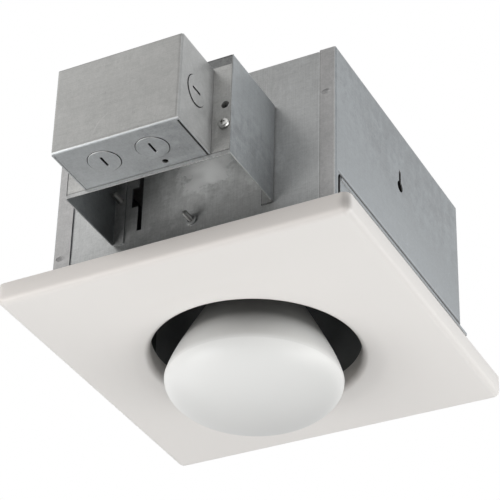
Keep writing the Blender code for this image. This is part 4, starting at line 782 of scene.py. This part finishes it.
def lathe(profile, steps=32):
    """A turned solid from (radius, height) points: it closes on the axis or on its first point."""
    bm = bmesh.new()
    closed = profile[0] == profile[-1]
    rings = []
    for radius, height in profile[:-1] if closed else profile:
        if radius == 0:
            rings.append([bm.verts.new((0, 0, height))] * steps)
        else:
            turns = [math.tau * i / steps for i in range(steps)]
            rings.append([bm.verts.new((radius * math.cos(turn), radius * math.sin(turn), height))
                          for turn in turns])
    if closed:
        rings.append(rings[0])
    for upper, lower in zip(rings, rings[1:]):
        for i in range(steps):
            j = (i + 1) % steps
            corners = [upper[i], lower[i], lower[j], upper[j]]
            corners = [corner for k, corner in enumerate(corners) if corner not in corners[:k]]
            if len(corners) > 2:
                bm.faces.new(corners)
    bmesh.ops.recalc_face_normals(bm, faces=bm.faces)
    return bm


print("piece helpers ready")

# %% [markdown]
# ## Folded sheets
#
# A sheared sheet edge is never knife-sharp, and that thin rounded edge is what catches the light. Each
# folded piece is a merged copy of its CAD mesh with a narrow bevel on every sharp edge. Weighted
# normals keep the wide faces flat, while the folds between them shade round. Clinch marks and a dimple
# are cut in with small ellipsoids before the bevel. The channel's mouth is drawn back a little, because
# its front edges lie nearly flush with the wiring panel.

# %% Sheets with softened edges
EDGE_RADIUS = 0.00016
CLINCHED_EDGE = 0.00024
DENT_LIFT = 0.0001
CLINCH_PRESS = (0.0034, 0.0008, 0.0021)
DIMPLE_PLACE = (house_high[0] + DENT_LIFT, -0.045, 0.1097)
DIMPLE_PRESS = (0.0003, 0.0011, 0.0011)
MOUTH_STEP = 0.0021
MOUTH_EASE = 0.006


def soft_flat(piece, width):
    """Softened edges between faces that stay flat."""
    soften(piece, width)
    piece.modifiers.new("Flat", "WEIGHTED_NORMAL").keep_sharp = True
    bake(piece)


def dent(place, size):
    """An ellipsoid that presses a shallow dent where it meets a sheet."""
    bm = bmesh.new()
    bmesh.ops.create_uvsphere(bm, u_segments=32, v_segments=16, radius=1,
                              matrix=Matrix.Translation(place) @ Matrix.Diagonal((*size, 1)))
    return new_piece("dent", bm)


def clinch(place):
    """The dent of a press joint in a flange."""
    return dent((place[0], place[1] - DENT_LIFT, place[2]), CLINCH_PRESS)


def folded(name, material, dents=(), width=EDGE_RADIUS, reshape=None):
    """A sheet piece: merged, reshaped, dented, with softened edges."""
    bm = merged(name)
    if reshape:
        reshape(bm)
    piece = new_piece(name + "_sheet", bm)
    if dents:
        carve(piece, dents)
    shade(piece)
    soft_flat(piece, width)
    finish_piece(piece, "housing", material, name)


def flush_mouth(bm):
    """Draws the channel's front edges back until they lie nearly flush with the wiring panel."""
    for vert in bm.verts:
        depth = vert.co.y - CHANNEL_FRONT
        if depth < MOUTH_EASE:
            vert.co.y += MOUTH_STEP * (1 - depth / MOUTH_EASE)


folded("side_right", side_sheet, [clinch(CLINCH_RIGHT), dent(DIMPLE_PLACE, DIMPLE_PRESS)], CLINCHED_EDGE)
folded("side_left", side_sheet, [clinch(CLINCH_LEFT)], CLINCHED_EDGE)
folded("skirt_left", side_sheet)
folded("skirt_right", side_sheet)
folded("channel_box", channel_sheet, reshape=flush_mouth)
folded("wiring_box", box_sheet)

# %% [markdown]
# Three kinds of sheet get one more touch from the press. The wrap's top is stepped up between the side
# flanges, so the top runs level. The panel's round hole is plunged, which leaves a short collar behind
# it. The knockouts stand a little proud, because the punch has cut them loose but for two tabs.

# %% Stepped, plunged and punched sheets
LEFT_FLANGE_WIDTH = 0.0138
STEP_HEIGHT = 0.001
STEP_WIDTH = 0.0012
STEP_GAP = 0.0004
TOP_BEND = 0.003
SNAP = 0.00001
COLLAR_IN, COLLAR_OUT, COLLAR_DEPTH = 0.0029, 0.0033, 0.0065
DISC_EDGE = 0.0003
SIDE_PUSH, LOW_PUSH = 0.0007, -0.0006


def stepped_top(bm):
    """Lifts the wrap's top and its two bends between the side flanges."""
    left = house_low[0] + LEFT_FLANGE_WIDTH + STEP_GAP
    right = FLANGE_EDGE - STEP_GAP
    for x in (left, left + STEP_WIDTH, right - STEP_WIDTH, right):
        bmesh.ops.bisect_plane(bm, geom=[*bm.verts, *bm.edges, *bm.faces], dist=SNAP / 10,
                               plane_co=(x, 0, 0), plane_no=(1, 0, 0))
    top = max(vert.co.z for vert in bm.verts)
    for vert in bm.verts:
        if vert.co.z > top - TOP_BEND and left + STEP_WIDTH - SNAP < vert.co.x < right - STEP_WIDTH + SNAP:
            vert.co.z += STEP_HEIGHT


def plunged_hole(bm):
    """Adds the collar behind the panel's round hole."""
    tube = lathe([(COLLAR_IN, 0), (COLLAR_IN, -COLLAR_DEPTH), (COLLAR_OUT, -COLLAR_DEPTH), (COLLAR_OUT, 0),
                  (COLLAR_IN, 0)])
    place = Matrix.Translation((HOLE_PLACE[0], panel_high.y, HOLE_PLACE[2]))
    tube.transform(place @ Matrix.Rotation(math.radians(90), 4, "X"))
    spare = bpy.data.meshes.new("collar")
    tube.to_mesh(spare)
    tube.free()
    bm.from_mesh(spare)


def pushed(x=0, z=0):
    """A shift for every point of a piece."""
    return lambda bm: bmesh.ops.translate(bm, verts=bm.verts, vec=(x, 0, z))


folded("housing_wrap", housing_sheet, reshape=stepped_top)
folded("wiring_panel", panel_sheet, reshape=plunged_hole)
folded("knockout_side", side_disc_sheet, width=DISC_EDGE, reshape=pushed(x=SIDE_PUSH))
for name in ("knockout_bottom_left", "knockout_bottom_right"):
    folded(name, low_disc_sheet, width=DISC_EDGE, reshape=pushed(z=LOW_PUSH))

# %% [markdown]
# ## The face plate
#
# The plate is pressed from one sheet: a square rim, a soft bend, a slightly crowned face and a round
# opening whose lip turns up. Rings of points are laid from the rim to the lip. Each ring lies between
# a rounded square and a circle. The height of the face is a pillow, the product of two parabolas, so
# it has no crease on its diagonals. A grid of many narrow faces follows the press better than a box
# with bevels could.

# %% Face plate
PLATE_CENTRE = Vector(((plate_low.x + plate_high.x) / 2, (plate_low.y + plate_high.y) / 2, 0))
PLATE_HALF = (plate_high.x - plate_low.x) / 2
PLATE_SHEET = 0.0012
PLATE_EDGE = 0.00035
RIM = 0.0158
RIM_BEND = 0.0048
PLATE_CORNER = 0.0055
CROWN = 0.0043
OPENING_RADIUS = 0.0752
LIP_BEND = 0.0046
COLLAR_TOP = -0.0056
SIDE_POINTS = 36
CORNER_POINTS = 12
BEND_RINGS = 8
FACE_RINGS = 24
PILLOW_AT_OPENING = 0.64
LEVEL_FROM = 0.7


def rounded_square(half, radius):
    """Points round a square with round corners."""
    straight = half - radius
    reach = math.atan2(straight, half)
    quarter = [(half, half * math.tan(reach * (2 * i / SIDE_POINTS - 1))) for i in range(SIDE_POINTS + 1)]
    quarter += [(straight + radius * cosine, straight + radius * sine)
                for cosine, sine in quarter_turn(CORNER_POINTS)[1:-1]]
    points = []
    for turn in range(4):
        spin = Matrix.Rotation(turn * math.pi / 2, 2)
        points += [spin @ Vector(point) for point in quarter]
    return points


def face_height(x, y, share):
    """Height of the pressed face: a pillow that is flat along the bend and level at the opening."""
    across = PLATE_HALF - RIM_BEND
    pillow = (1 - (x / across) ** 2) * (1 - (y / across) ** 2) / PILLOW_AT_OPENING
    level = max(share - LEVEL_FROM, 0) / (1 - LEVEL_FROM)
    return -RIM - CROWN * (min(pillow, 1) * (1 - level) + level)


def plate_rings():
    square = rounded_square(PLATE_HALF, PLATE_CORNER)
    rings = [[(*point, 0) for point in square]]
    for cosine, sine in quarter_turn(BEND_RINGS):
        inset = RIM_BEND * (1 - cosine)
        height = -RIM + RIM_BEND * (1 - sine)
        rings.append([(*point, height) for point in rounded_square(PLATE_HALF - inset, PLATE_CORNER - inset)])
    edge = rounded_square(PLATE_HALF - RIM_BEND, PLATE_CORNER - RIM_BEND)
    circle = [point.normalized() for point in square]
    lip = OPENING_RADIUS + LIP_BEND
    for step in range(1, FACE_RINGS + 1):
        share = step / FACE_RINGS
        places = [start * (1 - share) + end * lip * share for start, end in zip(edge, circle)]
        rings.append([(*place, face_height(*place, share)) for place in places])
    for cosine, sine in quarter_turn(BEND_RINGS)[1:]:
        radius = lip - LIP_BEND * sine
        height = -RIM - CROWN + LIP_BEND * (1 - cosine)
        rings.append([(*(point * radius), height) for point in circle])
    rings.append([(*(point * OPENING_RADIUS), COLLAR_TOP) for point in circle])
    return rings


def face_plate():
    bm = bmesh.new()
    loops = [[bm.verts.new(Vector(point) + PLATE_CENTRE) for point in ring] for ring in plate_rings()]
    for upper, lower in zip(loops, loops[1:]):
        for i, start in enumerate(upper):
            j = (i + 1) % len(upper)
            bm.faces.new((start, lower[i], lower[j], upper[j]))
    plate = new_piece("face_plate_pressed", bm)
    shade(plate, 60)
    thicken(plate, PLATE_SHEET, -1, even=True)
    soften(plate, PLATE_EDGE, 3)
    bake(plate)
    shade(plate, 50)
    finish_piece(plate, "plate", enamel, "face_plate")


face_plate()

# %% [markdown]
# ## Shapes by rule
#
# Geometry Nodes draw what follows a rule. A tree has named inputs, so another heater of the family
# needs only other numbers. Several rules wrap a flat grid round an axis: one direction of the grid
# becomes the angle and the other runs up the outline.

# %% Geometry Nodes helpers
SEAM_REACH = 0.000001


def new_tree(name, inputs):
    """A geometry tree, its wiring and its input signals. An input is a number or names its kind."""
    tree = bpy.data.node_groups.new(name, "GeometryNodeTree")
    for label, value in inputs.items():
        kind = {float: "Float", int: "Int"}.get(type(value), value)
        socket = tree.interface.new_socket(label, in_out="INPUT", socket_type="NodeSocket" + kind)
        if kind != value:
            socket.default_value = value
    tree.interface.new_socket("Geometry", in_out="OUTPUT", socket_type="NodeSocketGeometry")
    wiring = Wiring(tree)
    entry = tree.nodes.new("NodeGroupInput")
    signals = {output.name: Signal(wiring, output) for output in entry.outputs if output.name}
    return tree, wiring, signals


def end_tree(wiring, geometry, material):
    """Every tree ends in Realize Instances and Set Material."""
    real = wiring.node("GeometryNodeRealizeInstances", {0: geometry})
    made = wiring.node("GeometryNodeSetMaterial", {0: real, 2: material})
    output = wiring.tree.nodes.new("NodeGroupOutput")
    wiring.join(output.inputs[0], made)


def shape_by(piece, tree, values):
    """Runs a tree on a piece, with the inputs set by identifier, and keeps the mesh it makes."""
    modifier = piece.modifiers.new("Rule", "NODES")
    modifier.node_group = tree
    for item in tree.interface.items_tree:
        if item.in_out == "INPUT" and item.name in values:
            modifier[item.identifier] = values[item.name]
    return bake(piece)


def wrapped_grid(wiring, given):
    """A unit grid with its angle in radians and its share along the outline."""
    grid = wiring.node("GeometryNodeMeshGrid", {0: 1.0, 1: 1.0, 2: given["Around"], 3: given["Along"]})
    across, up, _ = wiring.split(wiring.node("GeometryNodeInputPosition"))
    return grid, (across + 0.5) * math.tau, up + 0.5


def wrap_round(wiring, grid, angle, radius, height, centre):
    """Bends a grid round a vertical axis and closes its seam."""
    x, y = radius * angle.maths("COSINE"), radius * angle.maths("SINE")
    place = wiring.node("ShaderNodeCombineXYZ", {0: x, 1: y, 2: height})
    bent = wiring.node("GeometryNodeSetPosition", {0: grid, 2: wiring.vector("ADD", place, centre)})
    return wiring.node("GeometryNodeMergeByDistance", {0: bent, "Distance": SEAM_REACH})


print("geometry helpers ready")

# %% [markdown]
# ## The lamp's glass
#
# The glass is a surface of revolution. Its face is a shallow superellipse, and its cone follows a gentle
# S from the widest ring to the neck, which a Float Curve holds.

# %% Lamp glass
NECK_END = 0.1445
BOWL_SHARE = 0.42
BOWL_EXPONENT = 2.1
GLASS_WALL = 0.001
CONE_OUTLINE = ((0.0, 1.0), (0.0766, 0.952), (0.2126, 0.835), (0.3460, 0.706), (0.4933, 0.555),
                (0.6264, 0.425), (0.7948, 0.287), (0.9191, 0.1937), (1.0, 0.1937))


def set_stops(signal, stops):
    """The points of a Float Curve node."""
    mapping = signal.socket.node.mapping
    curve = mapping.curves[0]
    while len(curve.points) < len(stops):
        curve.points.new(0.5, 0.5)
    for point, place in zip(curve.points, stops):
        point.location = place
    mapping.update()


def glass_tree():
    tree, wiring, given = new_tree("lamp_glass_rule", {
        "Radius": LAMP_RADIUS, "Bowl Height": BOWL_HEIGHT, "Bowl Exponent": BOWL_EXPONENT,
        "Neck End": NECK_END, "Centre": "Vector", "Around": 144, "Along": 110, "Glass": "Material"})
    grid, angle, share = wrapped_grid(wiring, given)
    bowl = (share / BOWL_SHARE).maths("MINIMUM", 1.0) * (math.pi / 2)
    inverse = wiring.node("ShaderNodeMath", {0: 2.0, 1: given["Bowl Exponent"]}, operation="DIVIDE")
    bowl_radius, fall = (bowl.maths(wave).maths("MAXIMUM", 0.0).maths("POWER", inverse)
                         for wave in ("SINE", "COSINE"))
    rise = ((share - BOWL_SHARE) / (1 - BOWL_SHARE)).maths("MAXIMUM", 0.0)
    cone = wiring.node("ShaderNodeFloatCurve", {0: 1.0, 1: rise})
    set_stops(cone, CONE_OUTLINE)
    on_cone = share.maths("GREATER_THAN", BOWL_SHARE)
    across = given["Radius"] * (bowl_radius * (1 - on_cone) + cone * on_cone)
    height = given["Bowl Height"] * (1 - fall) * (1 - on_cone) + on_cone * (
        given["Bowl Height"] + (given["Neck End"] - given["Bowl Height"]) * rise)
    end_tree(wiring, wrap_round(wiring, grid, angle, across, height, given["Centre"]), given["Glass"])
    return tree


def lamp_glass():
    glass = shape_by(new_piece("lamp_glass_blown", bmesh.new()), glass_tree(), {
        "Radius": LAMP_RADIUS, "Bowl Height": BOWL_HEIGHT, "Bowl Exponent": BOWL_EXPONENT,
        "Neck End": NECK_END, "Centre": (LAMP_AXIS.x, LAMP_AXIS.y, LAMP_LOW.z),
        "Glass": finishes["lamp_glass"]})
    shade(glass, 60)
    thicken(glass, GLASS_WALL, -1)
    bake(glass)
    finish_piece(glass, "lamp", finishes["lamp_glass"], "lamp_glass")


lamp_glass()

# %% [markdown]
# ## Threads
#
# A screw's thread is a radius that dips once per pitch and shifts by one pitch per turn. That is one
# formula over height and angle, so the wrapped grid makes it too. The ends can be closed by pulling
# the first and last row to the axis, and a taper at the low end makes the point.

# %% Threaded rods by rule
TIP_SHARE = 0.7
END_SHARE = 0.0005


def thread_tree():
    tree, wiring, given = new_tree("thread_rule", {
        "Diameter": 0.0042, "Depth": 0.0004, "Pitch": 0.0012, "Low": -0.01, "High": 0.0, "Point": 0.003,
        "Closed": 1.0, "Around": 24, "Along": 80, "Centre": "Vector", "Metal": "Material"})
    grid, angle, share = wrapped_grid(wiring, given)
    height = given["Low"] + (given["High"] - given["Low"]) * share
    phase = height / given["Pitch"] * math.tau - angle
    dip = given["Depth"] * (0.5 - phase.maths("COSINE") * 0.5)
    taper = ((height - given["Low"]) / given["Point"]).clamp() * (1 - TIP_SHARE) + TIP_SHARE
    inner = share.maths("GREATER_THAN", END_SHARE) * share.maths("LESS_THAN", 1 - END_SHARE)
    radius = (given["Diameter"] / 2 - dip) * taper * (1 - given["Closed"] * (1 - inner))
    end_tree(wiring, wrap_round(wiring, grid, angle, radius, height, given["Centre"]), given["Metal"])
    return tree


threads = thread_tree()
print("thread rule", [item.name for item in threads.interface.items_tree])

# %% [markdown]
# ## Screws
#
# A pan head is turned from a soft outline, and its cross recess is cut by two tapered bars. Head and
# shank then form one mesh. The thread tips that stand out inside the channel box are what shows of
# three of these screws; the panel's screw shows its head.

# %% Screws
AXIS_TURNS = {
    "+Y": Matrix.Rotation(math.radians(-90), 4, "X"),
    "-Y": Matrix.Rotation(math.radians(90), 4, "X"),
    "+Z": Matrix.Identity(4),
}
HEAD_STEPS = 8
HEAD_CURVE = (0.8, 0.55)
RECESS_SHARES = (0.56, 0.26, 0.62)
RECESS_FOOT = 0.55
RECESS_PROUD = 0.0004
THREAD_SHARE = 0.13
SHANK_OVERLAP = 0.2
ROWS_PER_PITCH = 9
LONG_SCREW = (0.0085, 0.0026, 0.0042, 0.0017)
PANEL_SCREW = (0.008, 0.003, 0.0042, 0.0017)
TERMINAL_SCREW = (0.0062, 0.0012, 0.0032, 0.0008)
BLUNT, SHORT_POINT, LONG_POINT = 0.0012, 0.001, 0.003


def recess_bar(head_d, head, turned):
    """A bar that narrows downwards, for one arm pair of a cross recess."""
    length, breadth, depth = RECESS_SHARES
    bm = bmesh.new()
    bmesh.ops.create_cube(bm, size=1)
    for vert in bm.verts:
        across = head_d * length * (RECESS_FOOT if vert.co.z < 0 else 1.0)
        vert.co = Vector((vert.co.x * across, vert.co.y * across * breadth,
                          head + (vert.co.z - 0.5) * head * depth + RECESS_PROUD))
    if turned:
        bmesh.ops.rotate(bm, verts=bm.verts, matrix=Matrix.Rotation(math.pi / 2, 3, "Z"))
    return new_piece("recess", bm)


def screw(name, axis, sizes, material, point):
    """A pan-head screw in its CAD node's place: the head is at the end that the axis points to."""
    head_d, head, diameter, pitch = sizes
    low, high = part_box(name)
    line = "XYZ".index(axis[1])
    bearing = (low + high) / 2
    bearing[line] = high[line] - head if axis[0] == "+" else low[line] + head
    length = high[line] - low[line] - head
    profile = [(head_d / 2 * sine ** HEAD_CURVE[0], head * cosine ** HEAD_CURVE[1])
               for cosine, sine in quarter_turn(HEAD_STEPS)[:-1]]
    top = new_piece(name + "_head", lathe([*profile, (head_d / 2, 0), (0, 0)]))
    carve(top, [recess_bar(head_d, head, turned) for turned in (False, True)])
    shank = shape_by(new_piece(name + "_shank", bmesh.new()), threads, {
        "Diameter": diameter, "Depth": diameter * THREAD_SHARE, "Pitch": pitch, "Low": -length,
        "High": head * SHANK_OVERLAP, "Point": point, "Along": int(length / pitch * ROWS_PER_PITCH),
        "Metal": material})
    bm = bmesh.new()
    for half in (top, shank):
        bm.from_mesh(half.data)
        bpy.data.objects.remove(half)
    bm.transform(Matrix.Translation(bearing) @ AXIS_TURNS[axis])
    piece = new_piece(name + "_threaded", bm)
    shade(piece, 40)
    finish_piece(piece, "housing", material, name)


zinc = finishes["zinc_fastener"]
for name, axis in (("can_screw_front", "+Y"), ("can_screw_rear", "-Y"),
                   ("channel_screw_left", "+Y"), ("channel_screw_right", "+Y")):
    screw(name, axis, LONG_SCREW, zinc, BLUNT)
screw("panel_screw", "-Y", PANEL_SCREW, zinc, BLUNT)
screw("earth_screw", "-Y", PANEL_SCREW, finishes["green_screw"], LONG_POINT)
for name in ("socket_screw_left", "socket_screw_right"):
    screw(name, "+Z", TERMINAL_SCREW, zinc, SHORT_POINT)

# %% [markdown]
# ## Rivets
#
# All rivets are one half-rivet, repeated: a low dome with a short shank that points into the sheet. A
# mesh of bare points says where the halves sit, and an attribute says which way each one faces.
# Geometry Nodes put an instance on every point and turn it by that attribute.

# %% Rivets by rule
RIVET_HEAD = 0.0012
RIVET_CURVE = (0.8, 0.7)
UNDERSIDE_FROM, UNDERSIDE_SLOPE = 0.5, 8
SHANK_FROM, SHANK_SLOPE = 0.65, 3.2
RIVET_END = 0.999


def rivet_tree():
    tree, wiring, given = new_tree("rivet_rule", {
        "Points": "Geometry", "Head Diameter": 0.0062, "Head Height": RIVET_HEAD,
        "Shank Diameter": 0.0032, "Shank Length": 0.001, "Around": 28, "Along": 20, "Metal": "Material"})
    grid, angle, share = wrapped_grid(wiring, given)
    dome = (share * 2).maths("MINIMUM", 1.0) * (math.pi / 2)
    under = ((share - UNDERSIDE_FROM) * UNDERSIDE_SLOPE).clamp()
    down = ((share - SHANK_FROM) * SHANK_SLOPE).clamp()
    head, shank = given["Head Diameter"] / 2, given["Shank Diameter"] / 2
    bulge = dome.maths("SINE").maths("POWER", RIVET_CURVE[0])
    radius = (head * bulge - (head - shank) * under) * share.maths("LESS_THAN", RIVET_END)
    rise = dome.maths("COSINE").maths("MAXIMUM", 0.0).maths("POWER", RIVET_CURVE[1])
    height = given["Head Height"] * rise - given["Shank Length"] * down
    half = wrap_round(wiring, grid, angle, radius, height, wiring.node("ShaderNodeCombineXYZ"))
    half = wiring.node("GeometryNodeFlipFaces", {0: half})
    facing = wiring.node("GeometryNodeInputNamedAttribute", {0: "facing"}, data_type="FLOAT_VECTOR")
    turn = wiring.node("FunctionNodeAlignRotationToVector", {"Vector": facing}, axis="Z")
    placed = wiring.node("GeometryNodeInstanceOnPoints", {
        "Points": given["Points"], "Instance": half, "Rotation": turn})
    end_tree(wiring, placed, given["Metal"])
    return tree


rivet_rule = rivet_tree()


def rivets(name, axis, stands_for):
    """One piece for some rivets whose axis is the same: two halves each."""
    line = "XYZ".index(axis)
    spots, facings = [], []
    for node in stands_for:
        low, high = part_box(node)
        for corner, sign in ((low, -1), (high, 1)):
            spot = (low + high) / 2
            spot[line] = corner[line] - sign * RIVET_HEAD
            facing = Vector((0, 0, 0))
            facing[line] = sign
            spots.append(spot)
            facings.append(facing)
    data = bpy.data.meshes.new(name)
    data.from_pydata(spots, [], [])
    marks = data.attributes.new("facing", "FLOAT_VECTOR", "POINT")
    for mark, facing in zip(marks.data, facings):
        mark.vector = facing
    piece = shape_by(add_object(name, data), rivet_rule, {"Metal": zinc, "Head Height": RIVET_HEAD})
    shade(piece, 40)
    finish_piece(piece, "housing", zinc, *stands_for)


rivets("rivets_upright", "Y", ("box_rivet_left", "box_rivet_right", "can_rivet_front", "can_rivet_rear"))
rivets("rivets_lid", "Z",
       ("hat_rivet_left", "hat_rivet_right", "cutout_rivet_left", "cutout_rivet_right"))

# %% [markdown]
# ## The can
#
# The can is rolled from one strip whose end laps over its start. The strip's end is left proud, so a
# straight edge runs up the inside, and that edge is the only line in all the black. The wall is
# drawn as one long strip of many narrow faces and given its thickness.

# %% Can round the lamp
CAN_RADIUS = 0.079
CAN_SHEET = 0.0005
CAN_LAP_GAP = 0.0003
SEAM_ANGLE = math.radians(183.6)
LAP_ANGLE = math.radians(9)
CAN_FACES = 200
CAN_ROWS = 6


def heat_can():
    bm = bmesh.new()
    columns = []
    joggle = LAP_ANGLE / 3
    for i in range(CAN_FACES + 1):
        angle = (math.tau + LAP_ANGLE) * i / CAN_FACES
        rise = min(max((angle - math.tau + joggle * 2) / joggle, 0), 1)
        radius = CAN_RADIUS + (CAN_SHEET + CAN_LAP_GAP) * rise
        turn = SEAM_ANGLE + angle
        columns.append([bm.verts.new((LAMP_AXIS.x + radius * math.cos(turn),
                                      LAMP_AXIS.y + radius * math.sin(turn),
                                      can_low.z + (can_high.z - can_low.z) * row / CAN_ROWS))
                        for row in range(CAN_ROWS + 1)])
    for here, after in zip(columns, columns[1:]):
        for row in range(CAN_ROWS):
            bm.faces.new((here[row], after[row], after[row + 1], here[row + 1]))
    can = new_piece("heat_can_rolled", bm)
    thicken(can, CAN_SHEET, 1)
    bake(can)
    shade(can, 40)
    finish_piece(can, "housing", can_black, "heat_can")


heat_can()

# %% [markdown]
# ## The lamp's cap and the lampholder's shell
#
# Both carry the same rolled thread, with the lamp family's pitch of 3.63 mm. It is far rounder than a
# cut thread, and the same rule draws it: a deeper, slower dip on an open tube, which then gets a wall.

# %% Cap and shell
ROLLED_PITCH = 0.003629
ROLLED_DEPTH = 0.0008
ROLLED_ROWS = 14
NO_POINT = 0.00001
CAP_SHEET = 0.00035
CAP_END = 0.0025
SHELL_SHEET = 0.0005


def threaded_tube(name, node, body, sheet, short=0.0):
    """A tube in its CAD node's place, whose top may end short of the node's."""
    low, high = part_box(node)
    top = high.z - short
    tube = shape_by(new_piece(name, bmesh.new()), threads, {
        "Diameter": high.x - low.x, "Depth": ROLLED_DEPTH, "Pitch": ROLLED_PITCH, "Low": low.z,
        "High": top, "Point": NO_POINT, "Closed": 0.0, "Around": 72,
        "Along": int((top - low.z) / ROLLED_PITCH * ROLLED_ROWS),
        "Centre": (LAMP_AXIS.x, LAMP_AXIS.y, 0), "Metal": finishes["brass"]})
    thicken(tube, sheet, -1)
    bake(tube)
    shade(tube, 60)
    finish_piece(tube, body, finishes["brass"], node)


threaded_tube("lamp_cap_rolled", "lamp_cap", "lamp", CAP_SHEET, CAP_END)
threaded_tube("socket_shell_rolled", "socket_shell", "housing", SHELL_SHEET)

# %% [markdown]
# ## The pieces that stay inside
#
# Brackets, bushings, the porcelain cup, leads and springs hardly show in the picture, but the object is
# looked at from all sides. Each is a refined copy of its CAD mesh: whole faces, softened edges and
# smooth shading over the round parts. A row gives the body, the width of the edges, the angle up to
# which the shading is smooth, and the pieces. A width of 0 leaves the edges of round pieces alone.

# %% Inner pieces
INNER_PIECES = (
    ("housing", 0.0002, 35, ("can_bracket_front", "can_bracket_rear", "socket_bracket", "heat_can_top",
                             "bushing_panel", "bushing_housing", "bushing_can_front", "bushing_can_rear",
                             "socket_body", "socket_contact", "thermal_cutout")),
    ("housing", 0, 65, ("lead_black", "lead_white", "lead_link", "earth_lead")),
    ("plate", 0.0001, 35, ("plate_spring_left", "plate_spring_right", "plate_stud_left",
                           "plate_stud_right")),
    ("lamp", 0, 50, ("lamp_cap_insulator", "lamp_stem", "lamp_filament")),
    ("lamp_carriage", 0.0001, 35, ("lamp_contact",)),
)
for body, width, angle, names in INNER_PIECES:
    for name in names:
        piece = new_piece(name + "_fine", merged(name))
        shade(piece, angle)
        if width:
            soft_flat(piece, width)
        finish_piece(piece, body, finishes[slot_of[name]], name)

# %% [markdown]
# ## Materials on what is left
#
# The CAD nodes keep their own meshes, and each takes the finish that its slot names.

# %% Materials of the CAD nodes and the floor
for name, node in nodes.items():
    node.data.materials.clear()
    node.data.materials.append(finishes[slot_of[name]])
floor.data.materials.append(hardware("floor_paper", (0.80, 0.80, 0.80), 0.9, 0.0, 12.0, 0.01))
print("dressed", len(nodes), "nodes")
